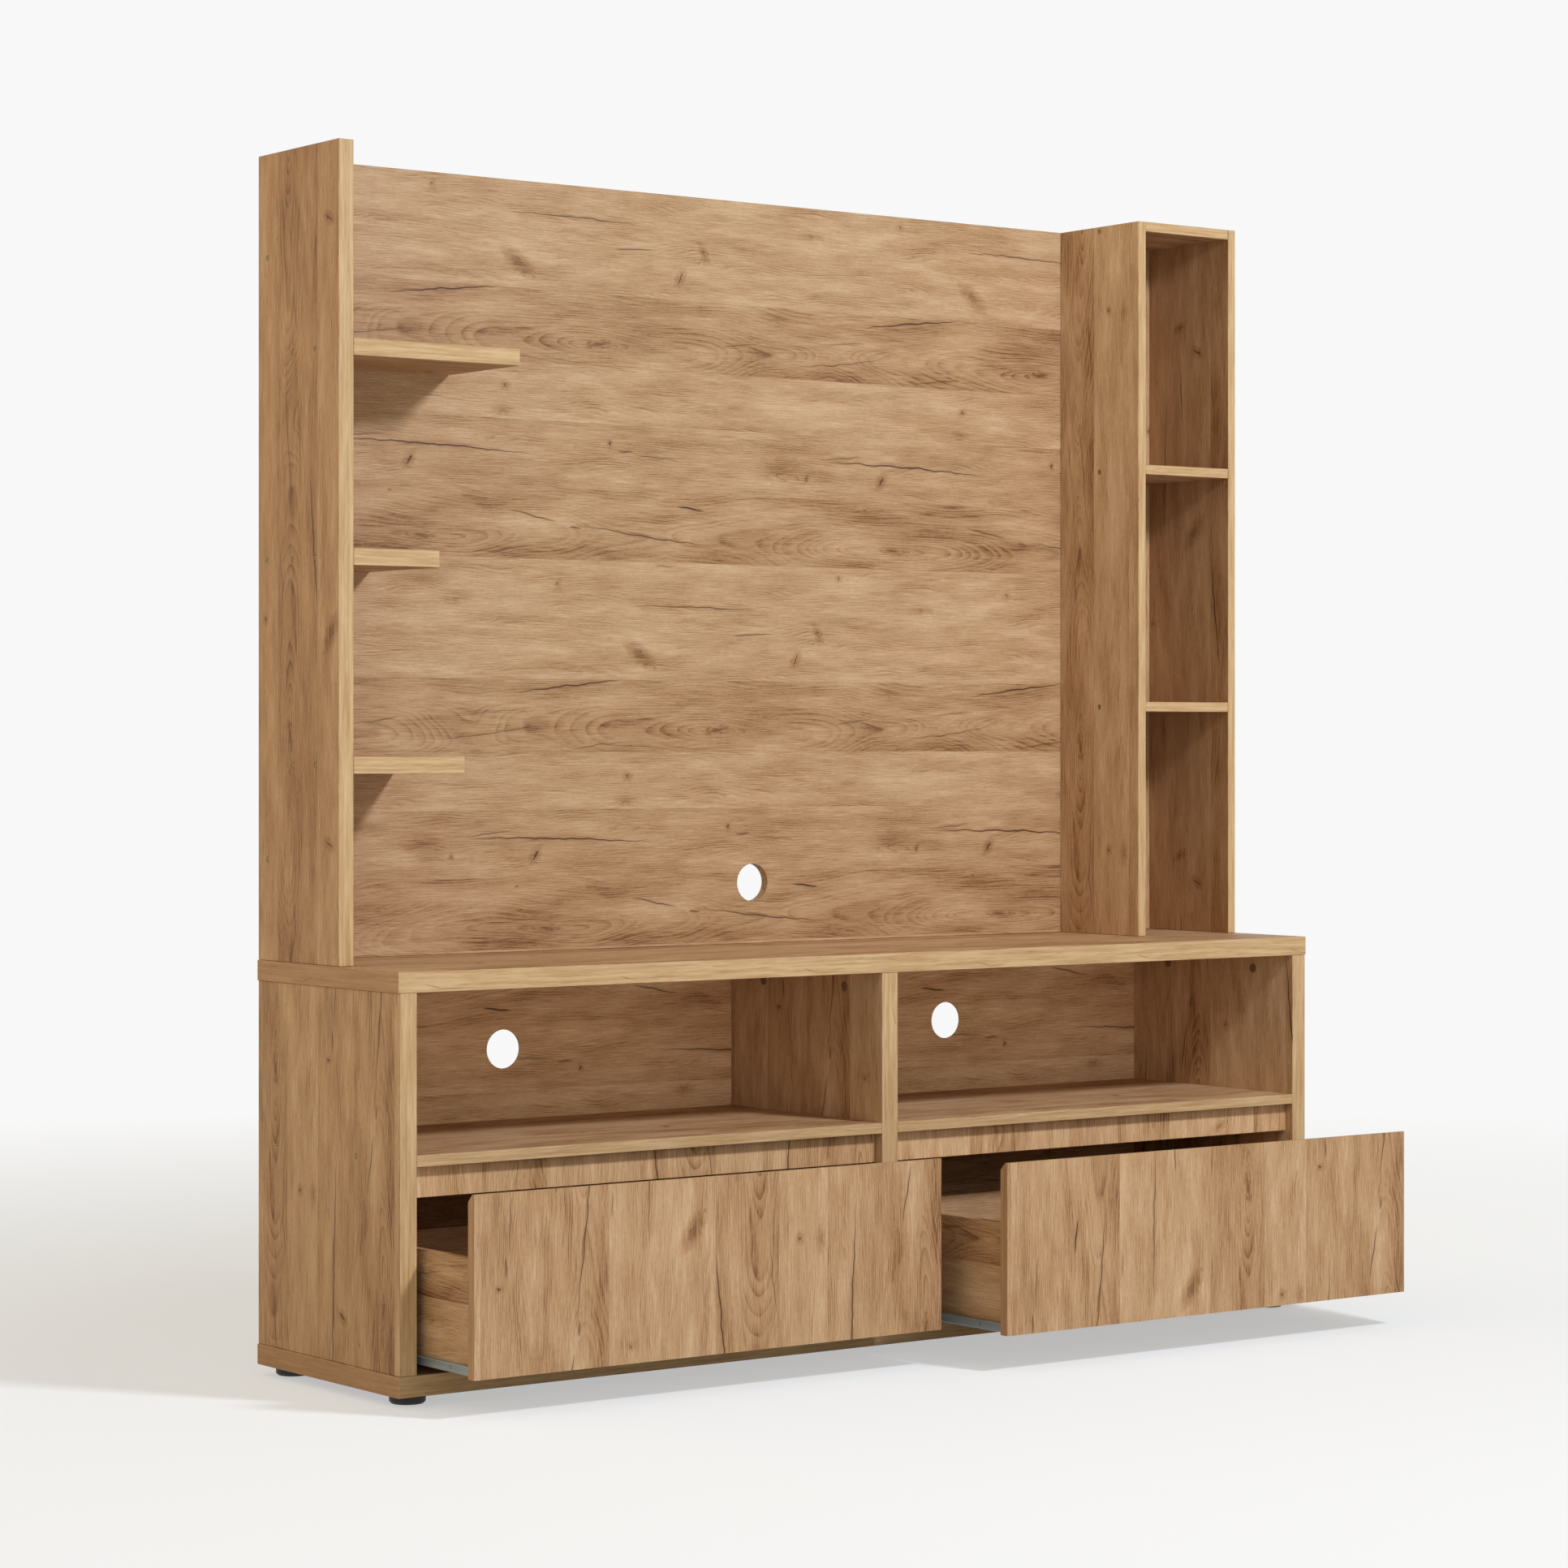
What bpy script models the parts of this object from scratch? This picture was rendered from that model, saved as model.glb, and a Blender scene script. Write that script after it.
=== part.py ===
"""Entertainment centre: a low cabinet with two bays and two drawers, and a hutch on top.

Lengths are in metres. In the cabinet's own coordinates X runs right from the left end of
the slabs, Y runs back from the plane of the front edges and Z runs up from the floor. The
assembly empty moves all of it, so that the origin lies under the middle of the whole.
"""
import math

import bmesh
import bpy
from mathutils import Matrix, Vector

# Base cabinet
cabinet_width = 1.740
cabinet_depth = 0.400
base_height = 0.595
slab_thickness = 0.030
slab_overhang = 0.002
side_thickness = 0.028
divider_thickness = 0.030
thin_board = 0.016
bay_shelf_rise = 0.307
apron_height = 0.0445
apron_relief = 0.0005

# Thin back panels of the base, slid into grooves
back_thickness = 0.003
back_rear_inset = 0.005
groove_depth = 0.006

# Cable holes: radius, and centre as shares of the clear width and height it looks into
cable_hole_radius = 0.030
left_bay_hole_shares = (0.4776, 0.474)
right_bay_hole_shares = (0.4958, 0.513)
hutch_hole_shares = (0.5686, 0.0822)

# Feet
foot_height = 0.015
foot_radius = 0.026
foot_chamfer = 0.003
foot_neck = 0.002
foot_stem_radius = 0.004
foot_stem_length = 0.012
foot_side_inset = 0.043
foot_front_inset = 0.047
foot_rear_inset = 0.032

# Hutch
column_height = 1.180
upright_proud = 0.003
hutch_depth = 0.232
upright_thickness = 0.025
panel_setback = 0.197
column_clear_width = 0.184
hutch_shelf_thickness = 0.025
hutch_shelf_places = {"top": (0.283, 0.900), "middle": (0.144, 0.599), "bottom": (0.187, 0.300)}
column_shelf_places = {"upper": 0.779, "lower": 0.387}

# Drawers
left_opening = 0.146
right_opening = 0.258
drawer_travel = 0.265
front_thickness = 0.016
front_height = 0.255
front_side_gap = 0.0024
front_bottom_gap = 0.0105
grip_chamfer = 0.011
box_depth = 0.350
box_height = 0.161
box_side_thickness = 0.012
bottom_thickness = 0.003
bottom_rise = 0.012
bottom_groove_depth = 0.005

# Roller runners of folded steel
runner_side_clearance = 0.0125
runner_steel = 0.0012
runner_bend = 0.0006
runner_height = 0.015
runner_seat_width = 0.009
runner_track_reach = 0.0085
rail_floor_gap = 0.008
rail_front_gap = 0.0025
rail_length = 0.350
rail_bottom_reach = 0.010
rail_top_reach = 0.0085
rail_lift_gap = 0.0008
roller_width = 0.006
roller_edge = 0.0006
front_roller_radius = 0.008
rear_roller_radius = 0.007
roller_inset = 0.012
pin_radius = 0.002
pin_head_radius = 0.0035
pin_head_thickness = 0.0009
pin_root = 0.0006
stop_length = 0.003
stop_height = 0.004
stop_gap = 0.0005

# Fasteners: the screws' holes, cam locks and dowels
screw_head_radius = 0.004
screw_head_depth = 0.0035
screw_shank_radius = 0.0025
screw_length = 0.050
hutch_screw_spacing = 0.065
flat_screw_head_radius = 0.0032
flat_screw_head_depth = 0.0018
flat_screw_shank_radius = 0.0015
flat_screw_length = 0.0105
cam_radius = 0.0075
cam_depth = 0.011
cam_drop = 0.025
cam_front_inset = 0.095
cam_rear_inset = 0.095
dowel_radius = 0.004
dowel_length = 0.032

# Shares of the board that a row of fasteners follows
side_screw_shares = (0.295, 0.8575)
panel_screw_shares = (0.126, 0.498, 0.874)
rail_screw_shares = (0.2, 0.8)
runner_screw_shares = (0.17, 0.75)
base_dowel_shares = (0.16, 0.84)
upright_dowel_shares = (0.2, 0.55)
panel_dowel_shares = (0.1, 0.4, 0.7, 0.9)

# Clearances, edges and mesh fineness
fit_gap = 0.0003
cut_overrun = 0.002
edge_ease = 0.0006
weld_distance = 0.00001
foot_steps = 24
roller_steps = 20
pin_steps = 12
fastener_steps = 10
cam_steps = 16
hole_steps = 32
bend_steps = 3

# Derived places
slab_top = foot_height + slab_thickness
base_top = foot_height + base_height
upper_slab_bottom = base_top - slab_thickness
inner_left = slab_overhang + side_thickness
inner_right = cabinet_width - inner_left
bay_width = (inner_right - inner_left - divider_thickness) / 2
divider_left = inner_left + bay_width
right_bay_left = divider_left + divider_thickness
bay_shelf_top = slab_top + bay_shelf_rise
bay_shelf_bottom = bay_shelf_top - thin_board
bay_clear_height = upper_slab_bottom - bay_shelf_top
back_rear = cabinet_depth - back_rear_inset
back_front = back_rear - back_thickness
apron_front = front_thickness + apron_relief
hutch_front = cabinet_depth - hutch_depth
panel_front = hutch_front + panel_setback
panel_rear = panel_front + thin_board
panel_middle = (panel_front + panel_rear) / 2
outer_upright_left = cabinet_width - slab_overhang - thin_board
inner_upright_right = outer_upright_left - column_clear_width
inner_upright_left = inner_upright_right - thin_board
left_upright_right = slab_overhang + upright_thickness
panel_width = inner_upright_left - left_upright_right
upright_height = column_height + upright_proud
front_bottom = slab_top + front_bottom_gap
box_front = front_thickness + fit_gap
box_rear = box_front + box_depth

# Derived heights of the runners, from the rail's underside up
rail_start = front_thickness + rail_front_gap
rail_bottom = slab_top + rail_floor_gap
rail_floor = rail_bottom + runner_steel
rear_roller_height = rail_floor + fit_gap + rear_roller_radius
rail_ceiling = rear_roller_height + rear_roller_radius + 2 * fit_gap
rail_top = rail_ceiling + runner_steel
track_underside = rail_top + rail_lift_gap
front_roller_height = track_underside - fit_gap - front_roller_radius
runner_top = track_underside + runner_steel
runner_bottom = runner_top - runner_height
box_bottom = runner_bottom + runner_steel + fit_gap
front_roller_place = rail_start + roller_inset
rear_roller_place = box_rear - roller_inset
pin_length = roller_width + pin_head_thickness + 3 * fit_gap

looks = {
    "oak_board": ((0.47, 0.30, 0.16), 0.55, 0.0),
    "drawer_bottom": ((0.55, 0.45, 0.33), 0.7, 0.0),
    "black_plastic": ((0.012, 0.012, 0.013), 0.45, 0.0),
    "brown_plastic": ((0.20, 0.11, 0.06), 0.5, 0.0),
    "white_nylon": ((0.80, 0.80, 0.78), 0.4, 0.0),
    "coated_steel": ((0.33, 0.37, 0.38), 0.4, 0.4),
}
nodes = {}
cutters = {}


def clear_scene():
    """Remove whatever the open file holds."""
    for item in list(bpy.data.objects):
        bpy.data.objects.remove(item, do_unlink=True)


def new_collection(name):
    """A collection of that name in the scene."""
    group = bpy.data.collections.new(name)
    bpy.context.scene.collection.children.link(group)
    return group


def new_material(name, look):
    """A node's own Principled material, with one of the looks."""
    colour, roughness, metallic = looks[look]
    material = bpy.data.materials.new(name)
    material.use_nodes = True
    shader = material.node_tree.nodes["Principled BSDF"]
    shader.inputs["Base Color"].default_value = (*colour, 1.0)
    shader.inputs["Roughness"].default_value = roughness
    shader.inputs["Metallic"].default_value = metallic
    material.diffuse_color = (*colour, 1.0)
    return material


def new_empty(name, place, parent=None):
    """An empty that carries other objects."""
    carrier = bpy.data.objects.new(name, None)
    carrier.location = place
    carrier.parent = parent
    bpy.context.scene.collection.objects.link(carrier)
    return carrier


def add_node(name, mesh, origin, look, parent):
    """Make a sub-part of a mesh whose points are given from its origin."""
    mesh.materials.clear()
    mesh.materials.append(new_material(name, look))
    part = bpy.data.objects.new(name, mesh)
    part.location = origin
    part.parent = parent
    part_group.objects.link(part)
    nodes[name] = part
    return part


def add_cutter(name, mesh, parent):
    """Make a hidden wire-drawn object that cuts others, or joins them by union."""
    cutter = bpy.data.objects.new(name, mesh)
    cutter.parent = parent
    cutter.hide_render = True
    cutter.display_type = "WIRE"
    cutter_group.objects.link(cutter)
    cutters[name] = cutter
    return cutter


def combine(part, other, operation="DIFFERENCE"):
    """Cut one object from another, or join it, with an exact Boolean."""
    step = part.modifiers.new(other.name, "BOOLEAN")
    step.operation = operation
    step.solver = "EXACT"
    step.object = other


def box_mesh(low, high):
    """A cuboid about its own centre, and that centre."""
    low, high = Vector(low), Vector(high)
    mesh = bpy.data.meshes.new("box")
    shape = bmesh.new()
    bmesh.ops.create_cube(shape, size=1.0, matrix=Matrix.Diagonal((*(high - low), 1.0)))
    shape.to_mesh(mesh)
    shape.free()
    return mesh, (low + high) / 2


def board(name, low, high, parent, look="oak_board", ease=edge_ease):
    """A flat board between two opposite corners, with eased edges."""
    mesh, centre = box_mesh(low, high)
    part = add_node(name, mesh, centre, look, parent)
    if ease:
        bevel = part.modifiers.new("eased_edges", "BEVEL")
        bevel.width = ease
        bevel.segments = 1
    return part


def box_cutter(name, low, high, parent):
    """A cuboid cutter between two opposite corners."""
    mesh, centre = box_mesh(low, high)
    cutter = add_cutter(name, mesh, parent)
    cutter.location = centre
    return cutter


def evaluated_mesh(guide):
    """The welded mesh that a guide object evaluates to; the guide is removed."""
    bpy.context.scene.collection.objects.link(guide)
    graph = bpy.context.evaluated_depsgraph_get()
    mesh = bpy.data.meshes.new_from_object(guide.evaluated_get(graph))
    bpy.data.objects.remove(guide)
    shape = bmesh.new()
    shape.from_mesh(mesh)
    bmesh.ops.remove_doubles(shape, verts=shape.verts, dist=weld_distance)
    bmesh.ops.recalc_face_normals(shape, faces=shape.faces)
    shape.to_mesh(mesh)
    shape.free()
    return mesh


def turned_mesh(profile, steps, ring=False):
    """A profile of (radius, height) points, top to bottom, turned about the Z axis."""
    count = len(profile)
    edges = [(index, index + 1) for index in range(count - 1)]
    if ring:
        edges.append((count - 1, 0))
    mesh = bpy.data.meshes.new("profile")
    mesh.from_pydata([(radius, 0.0, height) for radius, height in profile], edges, [])
    guide = bpy.data.objects.new("profile", mesh)
    screw = guide.modifiers.new("turn", "SCREW")
    screw.steps = steps
    screw.render_steps = steps
    screw.use_merge_vertices = True
    screw.merge_threshold = weld_distance
    return evaluated_mesh(guide)


def extruded_mesh(outline, length):
    """A closed flat outline in the XY plane, extruded evenly to both sides of it."""
    curve = bpy.data.curves.new("outline", "CURVE")
    curve.dimensions = "2D"
    curve.fill_mode = "BOTH"
    curve.extrude = length / 2
    spline = curve.splines.new("POLY")
    spline.points.add(len(outline) - 1)
    for point, (across, up) in zip(spline.points, outline):
        point.co = (across, up, 0.0, 1.0)
    spline.use_cyclic_u = True
    return evaluated_mesh(bpy.data.objects.new("outline", curve))


def copies_mesh(template, places):
    """Copies of one mesh, its Z axis turned to each place's outward direction."""
    shape = bmesh.new()
    for point, outward in places:
        turn = Vector(outward).to_track_quat("Z", "Y").to_matrix().to_4x4()
        copy = template.copy()
        copy.transform(Matrix.Translation(point) @ turn)
        shape.from_mesh(copy)
        bpy.data.meshes.remove(copy)
    mesh = bpy.data.meshes.new("copies")
    shape.to_mesh(mesh)
    shape.free()
    return mesh


def smooth(part, angle=math.radians(35)):
    """Shade a round part smooth, but for its sharp edges."""
    part.data.shade_smooth()
    part.data.set_sharp_from_angle(angle=angle)


def folded_outline(path, thickness, inner_radius, steps):
    """Outline of folded sheet about a centre line, with a round bend at each corner."""
    def left_of(direction):
        return Vector((-direction.y, direction.x))

    line = [Vector(point) for point in path]
    radius = inner_radius + thickness / 2
    rows = [(line[0], left_of((line[1] - line[0]).normalized()))]
    for before, corner, after in zip(line, line[1:], line[2:]):
        arrive = (corner - before).normalized()
        leave = (after - corner).normalized()
        side = math.copysign(1.0, arrive.cross(leave))
        angle = arrive.angle(leave)
        centre = corner - arrive * radius * math.tan(angle / 2) + side * left_of(arrive) * radius
        for step in range(steps + 1):
            normal = Matrix.Rotation(side * angle * step / steps, 2) @ left_of(arrive)
            rows.append((centre - side * normal * radius, normal))
    rows.append((line[-1], left_of((line[-1] - line[-2]).normalized())))
    half = thickness / 2
    return [at + half * out for at, out in rows] + [at - half * out for at, out in reversed(rows)]


def build_base():
    """Slabs, sides, divider, bay shelves, aprons and grooved back panels."""
    board("bottom_slab", (0, 0, foot_height), (cabinet_width, cabinet_depth, slab_top), assembly)
    board("top_slab", (0, 0, upper_slab_bottom), (cabinet_width, cabinet_depth, base_top), assembly)
    low, high = slab_top + fit_gap, upper_slab_bottom - fit_gap
    verticals = {
        "left_side": (slab_overhang, inner_left),
        "centre_divider": (divider_left, right_bay_left),
        "right_side": (inner_right, cabinet_width - slab_overhang),
    }
    for name, (left, right) in verticals.items():
        board(name, (left, 0, low), (right, cabinet_depth, high), assembly)
    for bay, left, hole_shares in (
        ("left", inner_left, left_bay_hole_shares),
        ("right", right_bay_left, right_bay_hole_shares),
    ):
        build_bay(bay, left, hole_shares)


def build_bay(bay, left, hole_shares):
    """One bay's shelf, apron and back panel, whose grooves are cut in its walls."""
    right = left + bay_width
    near, far = left + fit_gap, right - fit_gap
    shelf_rear = back_front - fit_gap
    board(f"{bay}_bay_shelf", (near, 0, bay_shelf_bottom), (far, shelf_rear, bay_shelf_top), assembly)
    apron_top = bay_shelf_bottom - fit_gap
    apron_low = (near, apron_front, apron_top - apron_height)
    board(f"{bay}_apron", apron_low, (far, apron_front + thin_board, apron_top), assembly)

    reach = groove_depth - fit_gap
    panel = board(
        f"{bay}_bay_back",
        (left - reach, back_front, slab_top - reach),
        (right + reach, back_rear, upper_slab_bottom + reach),
        assembly,
        ease=0,
    )
    across, up = hole_shares
    hole_centre = (
        left + across * bay_width,
        (back_front + back_rear) / 2,
        bay_shelf_top + up * bay_clear_height,
    )
    combine(panel, cable_hole_cutter(f"{bay}_bay_hole", hole_centre, back_thickness))
    groove = box_cutter(
        f"{bay}_bay_groove",
        (left - groove_depth, back_front - fit_gap, slab_top - groove_depth),
        (right + groove_depth, back_rear + fit_gap, upper_slab_bottom + groove_depth),
        assembly,
    )
    walls = ("left_side", "centre_divider") if bay == "left" else ("centre_divider", "right_side")
    for wall in (*walls, "bottom_slab", "top_slab"):
        combine(nodes[wall], groove)


def cable_hole_cutter(name, centre, thickness):
    """A round cutter through an upright panel, along Y."""
    half = thickness / 2 + cut_overrun
    profile = [(0, half), (cable_hole_radius, half), (cable_hole_radius, -half), (0, -half)]
    mesh = copies_mesh(turned_mesh(profile, hole_steps), [(centre, (0, 1, 0))])
    return add_cutter(name, mesh, assembly)


def build_feet():
    """Turned feet with a chamfered tread and a stem in the bottom slab."""
    profile = [
        (0, foot_height + foot_stem_length),
        (foot_stem_radius, foot_height + foot_stem_length),
        (foot_stem_radius, foot_height - fit_gap),
        (foot_radius - foot_neck, foot_height - fit_gap),
        (foot_radius, foot_height - foot_neck),
        (foot_radius, foot_chamfer),
        (foot_radius - foot_chamfer, 0),
        (0, 0),
    ]
    socket_radius = foot_stem_radius + fit_gap
    socket = [
        (0, foot_height + foot_stem_length + fit_gap),
        (socket_radius, foot_height + foot_stem_length + fit_gap),
        (socket_radius, foot_height - cut_overrun),
        (0, foot_height - cut_overrun),
    ]
    left, right = foot_side_inset, cabinet_width - foot_side_inset
    front, rear = foot_front_inset, cabinet_depth - foot_rear_inset
    places = {
        "foot_front_left": (left, front, 0),
        "foot_front_right": (right, front, 0),
        "foot_rear_left": (left, rear, 0),
        "foot_rear_right": (right, rear, 0),
        "foot_centre": (cabinet_width / 2, (front + rear) / 2, 0),
    }
    template = turned_mesh(profile, foot_steps)
    for name, place in places.items():
        smooth(add_node(name, template.copy(), place, "black_plastic", assembly))
    upward = [(place, (0, 0, 1)) for place in places.values()]
    cutter = add_cutter("foot_sockets", copies_mesh(turned_mesh(socket, fastener_steps), upward), assembly)
    combine(nodes["bottom_slab"], cutter)


def build_hutch():
    """Uprights, back panel, cantilever shelves and the shelf column on the top slab."""
    foot = base_top + fit_gap
    upright_top = base_top + upright_height
    column_top = base_top + column_height
    uprights = {
        "left_upright": (slab_overhang, left_upright_right, upright_top),
        "column_inner_upright": (inner_upright_left, inner_upright_right, column_top),
        "column_outer_upright": (outer_upright_left, cabinet_width - slab_overhang, column_top),
    }
    for name, (left, right, top) in uprights.items():
        board(name, (left, hutch_front, foot), (right, cabinet_depth, top), assembly)

    panels = {
        "hutch_back_panel": (left_upright_right, inner_upright_left),
        "column_back": (inner_upright_right, outer_upright_left),
    }
    for name, (left, right) in panels.items():
        low = (left + fit_gap, panel_front, foot)
        board(name, low, (right - fit_gap, panel_rear, column_top), assembly)
    across, up = hutch_hole_shares
    hole_centre = (left_upright_right + across * panel_width, panel_middle, base_top + up * column_height)
    combine(nodes["hutch_back_panel"], cable_hole_cutter("hutch_hole", hole_centre, thin_board))

    shelf_rear = panel_front - fit_gap
    for name, (length, rise) in hutch_shelf_places.items():
        top = base_top + rise
        low = (left_upright_right + fit_gap, hutch_front, top - hutch_shelf_thickness)
        board(f"hutch_shelf_{name}", low, (left_upright_right + length, shelf_rear, top), assembly)

    levels = {"column_top": column_top}
    for name, rise in column_shelf_places.items():
        levels[f"column_shelf_{name}"] = base_top + rise
    near, far = inner_upright_right + fit_gap, outer_upright_left - fit_gap
    for name, top in levels.items():
        board(name, (near, hutch_front, top - thin_board), (far, shelf_rear, top), assembly)


def build_drawer(name, bay_left, opening):
    """One drawer on its own empty, which slides along Y from where it is shut."""
    slide = new_empty(f"{name}_slide", (bay_left, -opening, 0), assembly)
    left, right = runner_side_clearance, bay_width - runner_side_clearance
    inner_left_face, inner_right_face = left + box_side_thickness, right - box_side_thickness
    box_top = box_bottom + box_height

    front_top = front_bottom + front_height
    outline = [
        (0, front_bottom),
        (front_thickness, front_bottom),
        (front_thickness, front_top - grip_chamfer),
        (front_thickness - grip_chamfer, front_top),
        (0, front_top),
    ]
    lengthwise = Matrix(((0, 0, 1, 0), (1, 0, 0, 0), (0, 1, 0, 0), (0, 0, 0, 1)))
    mesh = extruded_mesh(outline, bay_width - 2 * front_side_gap)
    mesh.transform(lengthwise)
    front = add_node(f"{name}_front", mesh, (bay_width / 2, 0, 0), "oak_board", slide)

    for side, low, high in (("left", left, inner_left_face), ("right", inner_right_face, right)):
        board(f"{name}_{side}_side", (low, box_front, box_bottom), (high, box_rear, box_top), slide)
    bottom_low = box_bottom + bottom_rise
    bottom_high = bottom_low + bottom_thickness
    board(
        f"{name}_back",
        (inner_left_face + fit_gap, box_rear - box_side_thickness, bottom_high + fit_gap),
        (inner_right_face - fit_gap, box_rear, box_top),
        slide,
    )
    reach = bottom_groove_depth - fit_gap
    board(
        f"{name}_bottom",
        (inner_left_face - reach, front_thickness - reach, bottom_low),
        (inner_right_face + reach, box_rear, bottom_high),
        slide,
        look="drawer_bottom",
        ease=0,
    )
    groove = box_cutter(
        f"{name}_groove",
        (
            inner_left_face - bottom_groove_depth,
            front_thickness - bottom_groove_depth,
            bottom_low - fit_gap,
        ),
        (inner_right_face + bottom_groove_depth, box_rear + cut_overrun, bottom_high + fit_gap),
        slide,
    )
    for part in (front, nodes[f"{name}_left_side"], nodes[f"{name}_right_side"]):
        combine(part, groove)

    screw_places = []
    for hand, side, wall in ((1, "left", 0), (-1, "right", bay_width)):
        screw_places += build_runner(name, side, wall, hand, slide)
    pieces = [f"{name}_{side}_{piece}" for side in ("left", "right") for piece in ("side", "runner")]
    bore(f"{name}_screw_holes", flat_screw_hole(), screw_places, pieces, slide)


def section_mesh(path, wall, hand, start, end):
    """Folded steel along Y, its path given as distance from the wall and height."""
    centre_line = [(wall + hand * away, height) for away, height in path]
    mesh = extruded_mesh(folded_outline(centre_line, runner_steel, runner_bend, bend_steps), end - start)
    mesh.transform(Matrix.Translation((0, (start + end) / 2, 0)) @ Matrix.Rotation(math.pi / 2, 4, "X"))
    return mesh


def pin_mesh():
    """A riveted pin along Z, rooted below zero in the steel that carries it."""
    head_start = pin_length - pin_head_thickness
    profile = [
        (0, pin_length),
        (pin_head_radius, pin_length),
        (pin_head_radius, head_start),
        (pin_radius, head_start),
        (pin_radius, -pin_root),
        (0, -pin_root),
    ]
    return turned_mesh(profile, pin_steps)


def roller_mesh(radius):
    """A nylon roller about Z, with eased rims and a bore that runs on its pin."""
    half = roller_width / 2
    bore_radius = pin_radius + fit_gap
    profile = [
        (radius - roller_edge, half),
        (radius, half - roller_edge),
        (radius, roller_edge - half),
        (radius - roller_edge, -half),
        (bore_radius, -half),
        (bore_radius, half),
    ]
    return turned_mesh(profile, roller_steps, ring=True)


def add_roller(name, radius, place, hand, parent):
    """A roller whose origin lies on its own axis, along X."""
    mesh = copies_mesh(roller_mesh(radius), [((0, 0, 0), (hand, 0, 0))])
    smooth(add_node(name, mesh, place, "white_nylon", parent))


def build_runner(name, side, wall, hand, slide):
    """The drawer's half of a runner with its rear roller; returns its screws' places."""
    half = runner_steel / 2
    web = runner_side_clearance - fit_gap - half
    path = [
        (web - runner_track_reach, runner_top - half),
        (web, runner_top - half),
        (web, runner_bottom + half),
        (web + runner_seat_width, runner_bottom + half),
    ]
    mesh = section_mesh(path, wall, hand, box_front, box_rear)
    runner = add_node(f"{name}_{side}_runner", mesh, (0, 0, 0), "coated_steel", slide)
    web_face = web - half
    root = (wall + hand * web_face, rear_roller_place, rear_roller_height)
    pin = add_cutter(f"{name}_{side}_pin", copies_mesh(pin_mesh(), [(root, (-hand, 0, 0))]), slide)
    combine(runner, pin, "UNION")
    middle = web_face - 2 * fit_gap - roller_width / 2
    place = (wall + hand * middle, rear_roller_place, rear_roller_height)
    add_roller(f"{name}_{side}_rear_roller", rear_roller_radius, place, hand, slide)

    height = (runner_top + runner_bottom) / 2
    spots = [box_front + share * box_depth for share in runner_screw_shares]
    return [((wall + hand * web_face, spot, height), (-hand, 0, 0)) for spot in spots]


def build_rails(bay, bay_left):
    """The cabinet's halves of a bay's runners, each with its front roller."""
    places = []
    for hand, side, wall in ((1, "left", bay_left), (-1, "right", bay_left + bay_width)):
        places += build_rail(f"{bay}_bay_{side}_rail", wall, hand)
    return places


def build_rail(name, wall, hand):
    """A channel with a stop and a pinned front roller; returns its screws' places."""
    half = runner_steel / 2
    web = fit_gap + half
    web_face = web + half
    path = [
        (web + rail_top_reach, rail_top - half),
        (web, rail_top - half),
        (web, rail_bottom + half),
        (web + rail_bottom_reach, rail_bottom + half),
    ]
    rail_end = rail_start + rail_length
    mesh = section_mesh(path, wall, hand, rail_start, rail_end)
    rail = add_node(name, mesh, (0, 0, 0), "coated_steel", assembly)

    mouth_end = front_roller_place + front_roller_radius + cut_overrun
    far = wall + hand * (web_face + rail_top_reach + cut_overrun)
    near = wall + hand * (web_face + runner_bend)
    mouth = box_cutter(
        f"{name}_mouth",
        (min(near, far), rail_start - cut_overrun, rail_ceiling - runner_bend),
        (max(near, far), mouth_end, rail_top + cut_overrun),
        assembly,
    )
    combine(rail, mouth)

    stop_end = rear_roller_place - drawer_travel - rear_roller_radius - stop_gap
    far = wall + hand * (web_face + rail_bottom_reach - runner_steel)
    near = wall + hand * (web_face + runner_steel)
    stop = box_cutter(
        f"{name}_stop",
        (min(near, far), stop_end - stop_length, rail_floor - half),
        (max(near, far), stop_end, rail_floor + stop_height),
        assembly,
    )
    combine(rail, stop, "UNION")

    root = (wall + hand * web_face, front_roller_place, front_roller_height)
    pin = add_cutter(f"{name}_pin", copies_mesh(pin_mesh(), [(root, (hand, 0, 0))]), assembly)
    combine(rail, pin, "UNION")
    middle = web_face + 2 * fit_gap + roller_width / 2
    place = (wall + hand * middle, front_roller_place, front_roller_height)
    add_roller(name.replace("_rail", "_front_roller"), front_roller_radius, place, hand, assembly)

    height = (rail_ceiling + rail_floor) / 2
    spots = [rail_start + share * rail_length for share in rail_screw_shares]
    return [((wall + hand * web_face, spot, height), (hand, 0, 0)) for spot in spots]


def socket_screw_hole():
    """Profile of the stepped hole for a headed board screw, from above the face down."""
    return [
        (0, cut_overrun),
        (screw_head_radius + fit_gap, cut_overrun),
        (screw_head_radius + fit_gap, -screw_head_depth),
        (screw_shank_radius + fit_gap, -screw_head_depth),
        (screw_shank_radius + fit_gap, -screw_length),
        (0, -screw_length),
    ]


def flat_screw_hole():
    """Profile of the countersunk hole for a wood screw that ends flush with the steel."""
    slope = (flat_screw_head_radius - flat_screw_shank_radius) / flat_screw_head_depth
    rim = flat_screw_head_radius + cut_overrun * slope
    return [
        (0, cut_overrun),
        (rim, cut_overrun),
        (flat_screw_shank_radius, -flat_screw_head_depth),
        (flat_screw_shank_radius, -flat_screw_length),
        (0, -flat_screw_length),
    ]


def peg_profile(radius, top, bottom):
    """Profile of a plain round peg or hole between two heights."""
    return [(0, top), (radius, top), (radius, bottom), (0, bottom)]


def bore(name, profile, places, pieces, parent, steps=fastener_steps):
    """Bore the same turned hole at each place, in all of the named pieces."""
    holes = add_cutter(name, copies_mesh(turned_mesh(profile, steps), places), parent)
    for piece in pieces:
        combine(nodes[piece], holes)


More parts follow.
